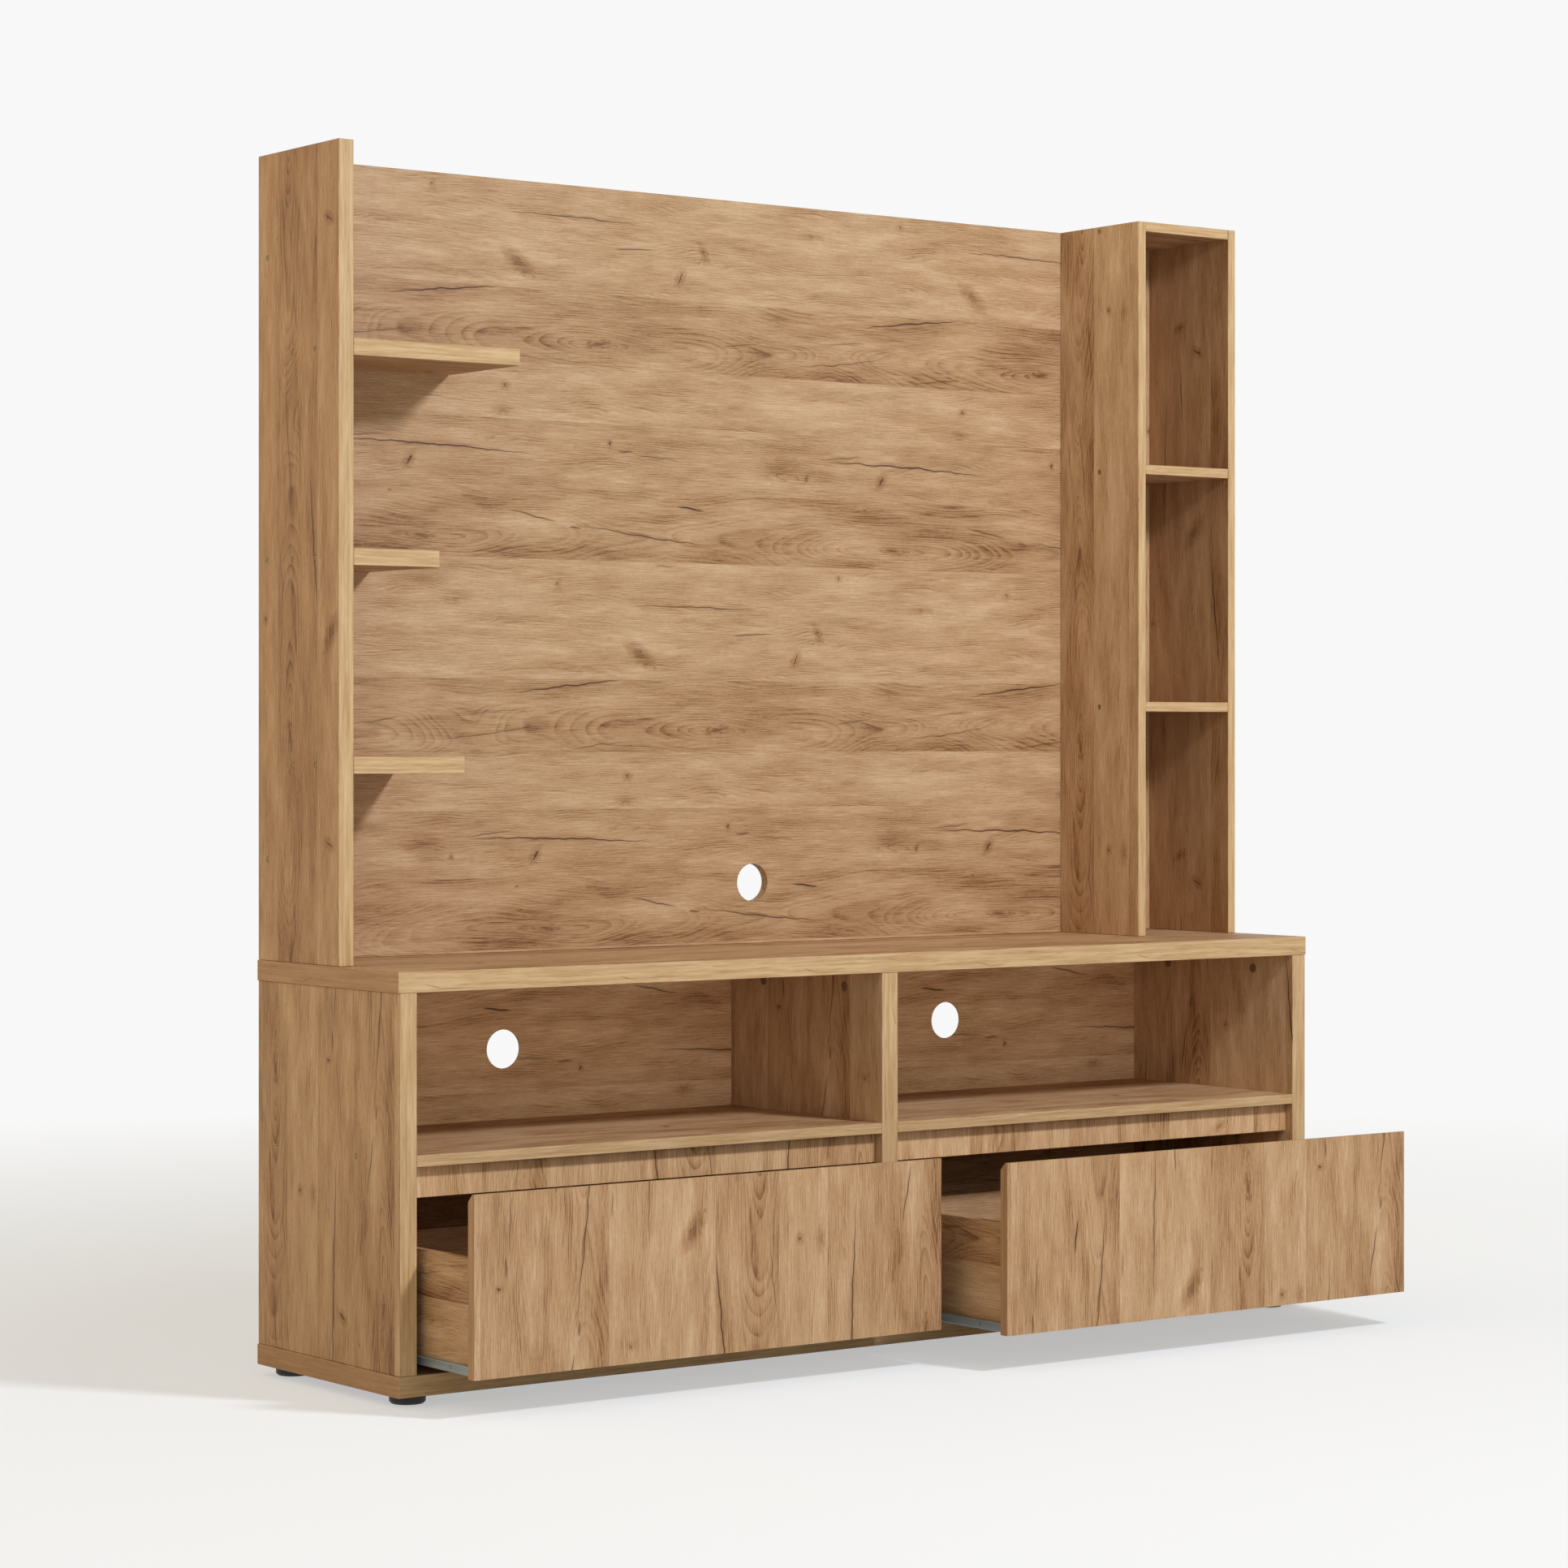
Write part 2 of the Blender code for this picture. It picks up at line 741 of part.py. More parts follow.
def holes_in_face(face, outward, spots):
    """Holes in a face of constant X, at (depth, height) spots."""
    return [((face, depth, height), (outward, 0, 0)) for depth, height in spots]


def bore_hutch():
    """Screw holes through the uprights into the hutch's shelves and panels."""
    shelf_middle = (hutch_front + panel_front) / 2
    shelf_spots = []
    for _, rise in hutch_shelf_places.values():
        height = base_top + rise - hutch_shelf_thickness / 2
        shelf_spots += [(shelf_middle + side * hutch_screw_spacing / 2, height) for side in (-1, 1)]
    panel_spots = [(panel_middle, base_top + share * column_height) for share in panel_screw_shares]
    column_tops = [column_height, *column_shelf_places.values()]
    column_spots = [(shelf_middle, base_top + top - thin_board / 2) for top in column_tops]
    places = holes_in_face(slab_overhang, -1, shelf_spots + panel_spots)
    places += holes_in_face(inner_upright_left, -1, column_spots)
    places += holes_in_face(cabinet_width - slab_overhang, 1, column_spots + panel_spots)
    pieces = ["left_upright", "column_inner_upright", "column_outer_upright", "column_top"]
    pieces += ["hutch_back_panel", "column_back"]
    pieces += [f"hutch_shelf_{name}" for name in hutch_shelf_places]
    pieces += [f"column_shelf_{name}" for name in column_shelf_places]
    bore("hutch_screw_holes", socket_screw_hole(), places, pieces, assembly)


def bore_base():
    """Screw holes through the cabinet's sides into the bay shelves."""
    height = (bay_shelf_bottom + bay_shelf_top) / 2
    spots = [(share * cabinet_depth, height) for share in side_screw_shares]
    places = holes_in_face(slab_overhang, -1, spots)
    places += holes_in_face(cabinet_width - slab_overhang, 1, spots)
    pieces = ["left_side", "right_side", "left_bay_shelf", "right_bay_shelf"]
    bore("side_screw_holes", socket_screw_hole(), places, pieces, assembly)


def build_cam_locks():
    """Capped cam locks under the top slab, flush in the faces that look into the bays."""
    height = upper_slab_bottom - cam_drop
    faces = {
        "left_side": (inner_left, 1),
        "centre_divider": (divider_left, -1),
        "right_side": (inner_right, -1),
    }
    depths = {"front": cam_front_inset, "rear": cabinet_depth - cam_rear_inset}
    lock = turned_mesh(peg_profile(cam_radius, 0, -cam_depth), cam_steps)
    hole = peg_profile(cam_radius + fit_gap, cut_overrun, -cam_depth - fit_gap)
    places = []
    for board_name, (face, outward) in faces.items():
        for end, depth in depths.items():
            place = (face, depth, height)
            mesh = copies_mesh(lock, [((0, 0, 0), (outward, 0, 0))])
            smooth(add_node(f"{board_name}_{end}_cam_lock", mesh, place, "brown_plastic", assembly))
            places.append((place, (outward, 0, 0)))
    bore("cam_lock_holes", hole, places, faces, assembly, cam_steps)


def add_dowels(piece, points, slabs):
    """Dowels pressed into a standing board's ends, and their holes in the slabs."""
    places = [(point, (0, 0, 1)) for point in points]
    half = dowel_length / 2
    pegs = copies_mesh(turned_mesh(peg_profile(dowel_radius, half, -half), fastener_steps), places)
    combine(nodes[piece], add_cutter(f"{piece}_dowels", pegs, assembly), "UNION")
    hole = peg_profile(dowel_radius + fit_gap, half + fit_gap, -half - fit_gap)
    bore(f"{piece}_dowel_holes", hole, places, slabs, assembly)


def build_dowels():
    """Beech dowels between the slabs and all that stands on them or between them."""
    base_boards = {
        "left_side": (slab_overhang + inner_left) / 2,
        "centre_divider": (divider_left + right_bay_left) / 2,
        "right_side": (inner_right + cabinet_width - slab_overhang) / 2,
    }
    for piece, middle in base_boards.items():
        depths = [share * cabinet_depth for share in base_dowel_shares]
        points = [(middle, depth, level) for depth in depths for level in (slab_top, upper_slab_bottom)]
        add_dowels(piece, points, ["bottom_slab", "top_slab"])
    uprights = {
        "left_upright": (slab_overhang + left_upright_right) / 2,
        "column_inner_upright": (inner_upright_left + inner_upright_right) / 2,
        "column_outer_upright": (outer_upright_left + cabinet_width - slab_overhang) / 2,
    }
    for piece, middle in uprights.items():
        points = [(middle, hutch_front + share * hutch_depth, base_top) for share in upright_dowel_shares]
        add_dowels(piece, points, ["top_slab"])
    spots = [left_upright_right + share * panel_width for share in panel_dowel_shares]
    add_dowels("hutch_back_panel", [(spot, panel_middle, base_top) for spot in spots], ["top_slab"])


def bore_rails(places):
    """Screw holes through the four rails into the sides and the divider."""
    pieces = ["left_side", "centre_divider", "right_side"]
    pieces += [f"{bay}_bay_{side}_rail" for bay in ("left", "right") for side in ("left", "right")]
    bore("rail_screw_holes", flat_screw_hole(), places, pieces, assembly)


clear_scene()
part_group = new_collection("entertainment_center")
cutter_group = new_collection("cutters")
whole_middle = (cabinet_depth - max(left_opening, right_opening)) / 2
assembly = new_empty("assembly", (-cabinet_width / 2, -whole_middle, 0))
build_base()
build_feet()
build_hutch()
build_drawer("left_drawer", inner_left, left_opening)
build_drawer("right_drawer", right_bay_left, right_opening)
bore_rails(build_rails("left", inner_left) + build_rails("right", right_bay_left))
bore_hutch()
bore_base()
build_cam_locks()
build_dowels()
print(len(nodes), "sub-parts,", len(cutters), "cutters")
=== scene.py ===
# %% [markdown]
# # An entertainment centre of printed oak boards
#
# The real cabinet comes flat in its boxes: chipboard with an oak print pressed
# on, and a straw-coloured strip glued round each edge. The boards' shapes come
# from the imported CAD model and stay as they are. This lesson gives them their
# finish, adds the screws that hold them, and sets up the camera and the light.

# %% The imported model
import math

import bpy
import numpy as np
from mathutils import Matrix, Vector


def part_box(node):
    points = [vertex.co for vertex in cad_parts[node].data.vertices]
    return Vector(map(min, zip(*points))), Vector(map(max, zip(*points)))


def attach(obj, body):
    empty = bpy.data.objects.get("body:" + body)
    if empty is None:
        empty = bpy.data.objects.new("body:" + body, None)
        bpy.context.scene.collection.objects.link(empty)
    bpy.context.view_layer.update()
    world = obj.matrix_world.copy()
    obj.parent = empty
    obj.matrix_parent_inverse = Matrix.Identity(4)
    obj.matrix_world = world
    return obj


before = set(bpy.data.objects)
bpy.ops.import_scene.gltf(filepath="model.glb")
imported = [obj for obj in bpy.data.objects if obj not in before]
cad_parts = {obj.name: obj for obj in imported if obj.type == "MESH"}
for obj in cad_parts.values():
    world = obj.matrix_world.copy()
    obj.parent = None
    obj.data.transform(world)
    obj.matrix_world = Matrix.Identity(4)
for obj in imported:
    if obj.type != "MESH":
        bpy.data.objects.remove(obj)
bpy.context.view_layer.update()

# %% [markdown]
# ## The camera
#
# The upright edges of the cabinet are upright in the picture, so the camera is
# level and its frame is lowered a little by a shift, as with a rising front.
# Place, turn and focal length come from matching the cabinet's corners.

# %% The camera
IMAGE_PIXELS = 1932
SENSOR_MM = 36
CAMERA_PLACE = (-3.8248, -4.9545, 0.9326)
CAMERA_TURN = 0.6384  # radians to the right of straight ahead
FOCAL_PIXELS = 5023.2
HORIZON_ROW = 912.8  # pixels below the picture's top

lens = bpy.data.cameras.new("camera")
lens.sensor_width = SENSOR_MM
lens.lens = FOCAL_PIXELS / IMAGE_PIXELS * SENSOR_MM
lens.shift_y = HORIZON_ROW / IMAGE_PIXELS - 0.5
camera = bpy.data.objects.new("camera", lens)
camera.location = CAMERA_PLACE
camera.rotation_euler = (math.pi / 2, 0, -CAMERA_TURN)
bpy.context.scene.collection.objects.link(camera)
bpy.context.scene.camera = camera
print("lens", round(lens.lens, 1), "mm, shift", round(lens.shift_y, 4))

# %% [markdown]
# ## Sums in a material
#
# A pattern in a material is arithmetic on the place of each point. It could be
# wired by hand in the shader editor. Here Python's own signs add the nodes: a
# Wire is one output socket, and adding or multiplying Wires adds a Math node,
# or a Vector Math node where three numbers travel together.


# %% A wire and a finish
def plain_colour(red, green, blue):
    """A picture's colour (0 to 255) as the linear numbers a shader works with."""
    parts = np.array((red, green, blue)) / 255
    bent = ((parts + 0.055) / 1.055) ** 2.4
    return tuple(float(v) for v in np.where(parts <= 0.04045, parts / 12.92, bent))


class Wire:
    """One output socket of a finish, a number or a vector, that sums work on."""

    def __init__(self, finish, socket):
        self.finish = finish
        self.socket = socket
        self.is_vector = socket.type in ("VECTOR", "RGBA")

    def sum(self, operation, *values):
        """A Math node, or a Vector Math node where a value has three parts."""
        several = any(isinstance(v, tuple) or getattr(v, "is_vector", False) for v in values)
        kind = "VectorMath" if several else "Math"
        return self.finish.node(kind, {"operation": operation}, dict(enumerate(values)))

    def __add__(self, other):
        return self.sum("ADD", self, other)

    def __sub__(self, other):
        return self.sum("SUBTRACT", self, other)

    def __rsub__(self, other):
        return self.sum("SUBTRACT", other, self)

    def __mul__(self, other):
        return self.sum("MULTIPLY", self, other)

    def __truediv__(self, other):
        return self.sum("DIVIDE", self, other)

    def __gt__(self, other):
        return self.sum("GREATER_THAN", self, other)

    def __lt__(self, other):
        return self.sum("LESS_THAN", self, other)

    def __abs__(self):
        return self.sum("ABSOLUTE", self)

    def at_most(self, other):
        return self.sum("MINIMUM", self, other)

    def at_least(self, other):
        return self.sum("MAXIMUM", self, other)

    def wrapped(self, length):
        """Brought to within half a length of zero by whole lengths."""
        return self.sum("WRAP", self, length / 2, -length / 2)

    def whole(self):
        return self.sum("FLOOR", self)

    def part(self):
        return self.sum("FRACT", self)

    def root(self):
        return self.sum("SQRT", self)

    def total(self):
        """The three parts of a vector added up."""
        inputs = {0: self, 1: (1, 1, 1)}
        return self.finish.node("VectorMath", {"operation": "DOT_PRODUCT"}, inputs, 1)

    __radd__ = __add__
    __rmul__ = __mul__


class Finish:
    """A node tree, and the one method that adds any node to it."""

    def __init__(self, tree):
        self.tree = tree
        tree.nodes.clear()

    def node(self, kind, settings=None, inputs=None, output=0):
        """Adds a node: first its settings, then the values or wires of its sockets.

        output is the socket to return, or a tuple of several.
        """
        prefix = "" if kind.startswith("NodeGroup") else "ShaderNode"
        made = self.tree.nodes.new(prefix + kind)
        for name, value in (settings or {}).items():
            if name == "stops":
                self.set_stops(made.color_ramp, value)
            else:
                setattr(made, name, value)
        for name, value in (inputs or {}).items():
            self.feed(made.inputs[name], value)
        if isinstance(output, tuple):
            return tuple(Wire(self, made.outputs[name]) for name in output)
        return Wire(self, made.outputs[output])

    def feed(self, socket, value):
        if isinstance(value, Wire):
            self.tree.links.new(value.socket, socket)
        elif socket.type == "RGBA":
            socket.default_value = (*value, 1)
        elif socket.type == "VECTOR" and not isinstance(value, tuple):
            socket.default_value = (value,) * 3
        else:
            socket.default_value = value

    def set_stops(self, ramp, stops):
        """A ramp's stops, each a place from 0 to 1 and a linear colour."""
        while len(ramp.elements) < len(stops):
            ramp.elements.new(1)
        for element, (place, colour) in zip(ramp.elements, stops):
            element.position = place
            element.color = (*colour, 1)

    def mix(self, share, first, second):
        """Two colours mixed: share 0 gives the first and 1 the second.

        The Mix node's sockets for colours are its inputs 6 and 7 and output 2.
        """
        return self.node("Mix", {"data_type": "RGBA"}, {0: share, 6: first, 7: second}, 2)

    def split(self, vector):
        return self.node("SeparateXYZ", None, {0: vector}, (0, 1, 2))

    def join(self, x, y):
        return self.node("CombineXYZ", None, {0: x, 1: y})

    def noise(self, x, y, detail, roughness=0.5, output=0):
        """Soft noise of mean 0.5 over x and y, both already in units of its size."""
        inputs = {"Vector": self.join(x, y), "Scale": 1.0}
        inputs.update({"Detail": detail, "Roughness": roughness})
        return self.node("TexNoise", {"noise_dimensions": "2D"}, inputs, output)

    def ramp(self, share, stops, interpolation="LINEAR"):
        """A colour that follows share through its stops."""
        made = self.node("ValToRGB", {"stops": stops}, {0: share})
        made.socket.node.color_ramp.interpolation = interpolation
        return made


def new_material(name):
    """A material with an empty tree, and the finish that fills it."""
    material = bpy.data.materials.new(name)
    material.use_nodes = True
    return material, Finish(material.node_tree)


def close_with(finish, surface):
    """Ends a finish's tree with a shader as the material's surface."""
    finish.node("OutputMaterial", None, {"Surface": surface}, ())


def glaze(finish, inputs):
    """The Principled shader with these inputs, as the material's surface."""
    close_with(finish, finish.node("BsdfPrincipled", None, inputs))


def new_pattern(name, inputs, outputs):
    """A node group for a pattern that several finishes share: (finish, its input wires).

    inputs and outputs are lists of (name, kind), the kind Float or Color.
    """
    tree = bpy.data.node_groups.new(name, "ShaderNodeTree")
    for side, sockets in (("INPUT", inputs), ("OUTPUT", outputs)):
        for socket, kind in sockets:
            tree.interface.new_socket(socket, in_out=side, socket_type="NodeSocket" + kind)
    finish = Finish(tree)
    names = tuple(socket for socket, _ in inputs)
    return finish, finish.node("NodeGroupInput", None, None, names)


# %% [markdown]
# ## The oak print
#
# The boards are not solid oak. One printed sheet covers them all, and it
# repeats: 898 mm along the grain and 598 mm across it, each row moved on by
# 226 mm. A sheet holds five planks side by side. Two have the flame figure of
# a board sawn near the tree's middle, nested round an eye, and the others are
# straight. Knots and drying cracks sit at fixed places in the sheet, so they
# turn up again on other boards. A noise texture alone could give knots and
# streaks, but not the same ones again, so the marks are listed, in mm.

# %% The marks of the printed sheet
MM = 1000.0  # millimetres in a metre
SHEET_LENGTH = 898.0
SHEET_WIDTH = 598.0
SHEET_STEP = 226.0
SHEET_START = -22.0  # where the first plank begins, across the grain

# plank: its start across the grain, tone, flame figure (1) or straight (0), own seed
PLANKS = (
    (-22, 0.40, 0, 0.13),
    (162, 0.56, 1, 0.57),
    (273, 0.40, 0, 0.81),
    (363, 0.50, 0, 0.35),
    (465, 0.54, 1, 0.96),
)

# crack: middle along and across, half length, slope, bow, half width, darkness
CRACKS = (
    (510, 47, 120, 0.020, 1.5, 1.0, 0.80),
    (624, 88.5, 42, -0.060, 0.8, 0.9, 0.80),
    (272, 172, 100, -0.112, 1.0, 1.3, 0.95),
    (132, 213, 44, -0.080, 0.0, 0.9, 0.45),
    (150, 243, 62, -0.140, 0.0, 1.0, 0.55),
    (325, 264, 52, -0.100, 0.8, 0.9, 0.70),
    (258, 408, 174, 0.030, 3.0, 1.2, 0.95),
    (126, 399, 44, -0.100, 0.5, 0.9, 0.65),
    (602, 405.5, 16, 0.010, 0.0, 0.9, 0.80),
    (664, 412, 38, 0.030, 0.5, 0.9, 0.65),
    (662, 403, 28, -0.150, 0.0, 0.8, 0.40),
    (726, 490, 27, 0.120, 0.0, 1.5, 1.00),
    (645, 537, 122, 0.105, -2.0, 1.0, 0.85),
    (431, 510, 44, 0.180, 0.0, 1.1, 0.80),
    (508, 527, 12, 0.100, 0.0, 1.1, 0.80),
    (451, -16, 18, 0.000, 0.0, 0.9, 0.60),
    (826, 227, 38, -0.130, -1.0, 1.3, 0.55),
    (82, 251, 46, -0.090, 0.0, 1.1, 0.50),
    (250, 273, 440, 0.002, 1.0, 1.4, 0.18),
    (300, 576, 440, -0.002, 1.5, 1.4, 0.18),
    (500, 162, 430, 0.002, -1.0, 1.4, 0.10),
)

# knot: middle along and across, turn in degrees, halo's half axes and strength,
# dark slit's half axes and strength
KNOTS = (
    (707, 128, -62, 20, 12, 0.60, 12, 1.8, 0.90),
    (209, 433, -57, 20, 12, 0.60, 10, 2.2, 1.00),
    (752, 86, 64, 24, 10, 0.50, 7, 2.5, 0.40),
    (402, 121, 36, 42, 18, 0.75, 13, 7, 0.34),
    (7, 415, 12, 46, 25, 0.48, 15, 8, 0.10),
    (57, 433, 0, 8, 8, 0.50, 3, 3.5, 0.35),
    (380, 312, 0, 13, 9, 0.55, 4, 4, 0.60),
    (375, 350, 0, 26, 9, 0.50, 9, 3, 0.20),
    (573, 393, 0, 8, 10, 0.50, 2.5, 4, 0.90),
    (249, 15, 0, 10, 10, 0.40, 3, 3, 0.50),
    (65, 43, 0, 32, 9, 0.40, 6, 4, 0.25),
    (794, -5, 0, 10, 7, 0.50, 3, 4, 0.50),
    (230, 545, 5, 32, 8, 0.45, 14, 1.8, 0.65),
    (552, 241, -5, 32, 8, 0.50, 14, 2.0, 0.65),
    (175, 480, 0, 6, 3, 0.30, 2.5, 1.5, 0.60),
)
print(len(PLANKS), "planks,", len(CRACKS), "cracks,", len(KNOTS), "knots on the sheet")

# %% [markdown]
# ### Cracks and knots, three at a time
#
# A vector carries three numbers, so one chain of Vector Math nodes can work on
# three marks at once, one in each part. A crack is a thin lens along a bowed
# line: dark where the distance across is less than a width that shrinks
# towards both ends. A knot is two ellipses, a wide brown halo and a dark slit.


# %% Cracks and knots
CRACK_STEEPNESS = 2.6  # above 1, a crack is fully dark over part of its width
CRACK_WIDENING = 1.25  # fine lines lose darkness in a picture, so they are drawn wider
THINNEST = 0.0001  # mm, where a crack has run out
BROWNING, BROWNING_REACH = 0.06, 4  # per width of distance, and how many widths away
SLIT_STEEPNESS = 1.8


def in_threes(rows):
    """Columns of each three rows, as tuples, for one chain of vector nodes."""
    for start in range(0, len(rows), 3):
        yield tuple(tuple(float(v) for v in column) for column in zip(*rows[start:start + 3]))


def cracks_at(along, across, cracks, length):
    """How dark the cracks are: steepness (1 - |distance| / room), with room width (1 - t^2).

    t is the distance along over the half length, and the line's own place is
    its middle plus slope times distance along plus bow times t squared. Past
    its width a crack still browns the wood a little, up to four widths away.
    """
    darkest = None
    for middles, places, halves, slopes, bows, widths, darks in in_threes(cracks):
        away = (along - middles).wrapped(length)
        share = away / halves
        squared = share * share
        line = away * slopes + squared * bows
        wide = tuple(CRACK_WIDENING * width for width in widths)
        room = ((1 - squared) * wide).at_least(THINNEST)
        off = abs(across - places - line) / room
        browned = (BROWNING_REACH - off) * BROWNING
        dark = ((1 - off) * CRACK_STEEPNESS).at_most(1.0).at_least(browned).at_least(0.0) * darks
        darkest = dark if darkest is None else darkest.at_least(dark)
    return darkest.total().at_most(1.0)


def knots_at(along, across, knots, length):
    """(halo, slit): 1 - r^2, and steepness (1 - r^2) up to 1, over turned ellipses."""
    halos = slits = None
    for row in in_threes(knots):
        middles, places, turns, long_halo, short_halo, browns, long_slit, short_slit, darks = row
        cosines = tuple(math.cos(math.radians(turn)) for turn in turns)
        sines = tuple(math.sin(math.radians(turn)) for turn in turns)
        away = (along - middles).wrapped(length)
        off = across - places
        lengthways = away * cosines + off * sines
        sideways = off * cosines - away * sines
        p, q = lengthways / long_halo, sideways / short_halo
        halo = (1 - (p * p + q * q)).at_least(0.0) * browns
        p, q = lengthways / long_slit, sideways / short_slit
        slit = ((1 - (p * p + q * q)) * SLIT_STEEPNESS).at_least(0.0).at_most(1.0) * darks
        halos = halo if halos is None else halos + halo
        slits = slit if slits is None else slits.at_least(slit)
    return halos.total().at_most(1.0), slits.total().at_most(1.0)


# %% [markdown]
# ### Grain
#
# Growth rings show as lines. In a straight plank their count rises evenly
# across the grain. In a flame plank it rises with the distance from the eye,
# with what is across counted eight times, which gives long nested arches.
# Noise bends both. Each ring darkens slowly and ends in a sharp edge, as
# summer wood does. Finer noise, stretched along the grain, makes streaks,
# fibres and flecks. All of them add up to one tone, and a ramp turns the tone
# into colour. A painted image would do too, but sums stay sharp from near.

# %% Kinds of noise
# mm over which each changes along and across the grain, its detail and roughness
FLOW = (240, 42, 1.5, 0.5)  # slow bends of the grain
SWELL = (170, 60, 0.0, 0.5)  # the lean of a flame's arches
PATCHES = (130, 22, 3.0, 0.6)  # paler and darker streaks
FIBRES = (48, 1.4, 2.0, 0.55)
FLECKS = (9, 2.4, 2.0, 0.6)
SWAY = (30, 60, 1.0, 0.5)  # how a crack wanders
TEAR_SIZE, TEAR_WIDTH = (7, 4), (7, 2.2)  # the ragged rims of knots, in mm
SWAY_WIDTH = 5  # mm
SEED_SHIFT = 40  # moves the noise on, so that no two planks are alike


def drawn_noise(finish, along, across, kind, shift=None):
    """Noise around 0, drawn out along the grain.

    kind is its size in mm along and across, its detail and its roughness, and
    shift moves it along.
    """
    long, wide, detail, roughness = kind
    start = along / long if shift is None else along / long + shift
    return finish.noise(start, across / wide, detail, roughness) - 0.5


# %% Growth rings
RING_SPACING = 2.9  # mm across the grain, in a straight plank
FLAME_SPACING = 36.0  # mm along the grain, in a flame plank
FLAME_STRETCH = 8.0
EYES = ((552.0, 243.0), (230.0, 545.0))  # along and across, one in each flame plank
SECOND_EYE = 400  # mm across the grain, past which the second eye counts
RING_EDGE = 9  # a ring's dark edge takes a ninth of it
MEAN_RING = 0.3  # taken off, so that rings don't darken the whole
SWELL_LEAN, FLOW_LEAN = 190, 40  # mm that an arch is moved by
UNEVEN_OVER, UNEVEN_BY = 0.45, 2.2  # changes per ring, and rings that they add


def flame_rings(finish, along, across, swell, flow, seed):
    """Rings counted from a flame's eye: root of away^2 + (stretch off)^2, over the spacing.

    Swell and flow lean the arches, and one more noise on the count itself
    makes the rings unlike in width.
    """
    (first_along, first_across), (second_along, second_across) = EYES
    lower = across > SECOND_EYE
    eye_along = lower * (second_along - first_along) + first_along
    eye_across = lower * (second_across - first_across) + first_across
    away = (along - eye_along).wrapped(SHEET_LENGTH)
    off = (across - eye_across) * FLAME_STRETCH
    reach = (away * away + off * off).root()
    nested = (reach + swell * SWELL_LEAN + flow * FLOW_LEAN) / FLAME_SPACING
    return nested + finish.noise(nested * UNEVEN_OVER, seed, 1.0) * UNEVEN_BY


def late_wood(rings):
    """How dark a point of a ring is: the part of the ring squared, then down in its last ninth."""
    phase = rings.part()
    return phase * phase * ((1 - phase) * RING_EDGE).at_most(1.0)


# %% The printed sheet
PALE = (205, 170, 132)
HONEY = (184, 144, 105)
BROWN = (157, 115, 77)
UMBER = (119, 80, 49)
KNOT = (98, 62, 34)
CRACK = (80, 49, 27)
TONES = ((0.05, PALE), (0.42, HONEY), (0.78, BROWN), (1.0, UMBER))
FLOW_BEND, PATCH_BEND = 34, 4  # mm that straight rings are bent by
HALO_RINGS, FIBRE_RINGS = 3, 0.15  # rings that a knot and the fibres add
# what each part adds to the tone, which runs from 0, palest, to 1, darkest
PATCH_TONE, FIBRE_TONE, FLECK_TONE, FLOW_TONE, HALO_TONE = 0.74, 0.8, 0.3, 0.5, 0.5
RING_TONE, FLAME_RING_TONE = 0.68, 0.62  # in straight planks and in flame planks
RING_STRENGTH, FAINTEST_RING, PATCHY = 0.42, 0.08, 1.3
FLAME_TONE, SWELL_TONE = 0.03, 0.5


def oak_print():
    """The printed sheet as a pattern: colour and relief at mm along and across the grain."""
    finish, (along, across) = new_pattern(
        "oak_print", [("Along", "Float"), ("Across", "Float")],
        [("Colour", "Color"), ("Relief", "Float")])
    sheet_place = (across - SHEET_START) / SHEET_WIDTH
    row = sheet_place.whole()
    along = along - row * SHEET_STEP
    across = across - row * SHEET_WIDTH
    stops = [((start - SHEET_START) / SHEET_WIDTH, marks) for start, *marks in PLANKS]
    tint, flame, seed = finish.split(finish.ramp(sheet_place - row, stops, "CONSTANT"))

    shift = seed * SEED_SHIFT
    flow, patches, flecks, fibres, sway, swell = (
        drawn_noise(finish, along, across, kind, shift)
        for kind in (FLOW, PATCHES, FLECKS, FIBRES, SWAY, SWELL))

    ragged = finish.noise(along / TEAR_SIZE[0], across / TEAR_SIZE[1], 1.0, output=1)
    ragged_along, ragged_across, _ = finish.split(ragged)
    torn_along = along + (ragged_along - 0.5) * TEAR_WIDTH[0]
    torn_across = across + (ragged_across - 0.5) * TEAR_WIDTH[1]
    halo, slit = knots_at(torn_along, torn_across, KNOTS, SHEET_LENGTH)
    crack = cracks_at(along, across + sway * SWAY_WIDTH, CRACKS, SHEET_LENGTH)

    nested = flame_rings(finish, along, across, swell, flow, seed)
    even = (across + flow * FLOW_BEND + patches * PATCH_BEND) / RING_SPACING
    rings = even + flame * (nested - even) + halo * HALO_RINGS + fibres * FIBRE_RINGS
    strength = (RING_STRENGTH + patches * PATCHY + flow).at_least(FAINTEST_RING)
    ring_tone = strength * (RING_TONE - flame * (RING_TONE - FLAME_RING_TONE))

    tone = tint + patches * PATCH_TONE + fibres * FIBRE_TONE + flecks * FLECK_TONE
    tone = tone + flow * FLOW_TONE + halo * HALO_TONE + (late_wood(rings) - MEAN_RING) * ring_tone
    tone = tone + flame * (swell * SWELL_TONE + FLAME_TONE)
    colour = finish.ramp(tone, [(place, plain_colour(*shade)) for place, shade in TONES])
    colour = finish.mix(slit, colour, plain_colour(*KNOT))
    colour = finish.mix(crack, colour, plain_colour(*CRACK))
    finish.node("NodeGroupOutput", None, {"Colour": colour, "Relief": fibres}, ())
    return finish.tree


SHEET = oak_print()
print(len(SHEET.nodes), "nodes print the sheet")

# %% [markdown]
# ### The edge strip
#
# Each cut edge is covered by a thin plastic strip, printed with a finer and
# straighter grain along its length. On the front edges it is straw-coloured.
# Its own print repeats every 332 mm, with a group of fine cracks low down.

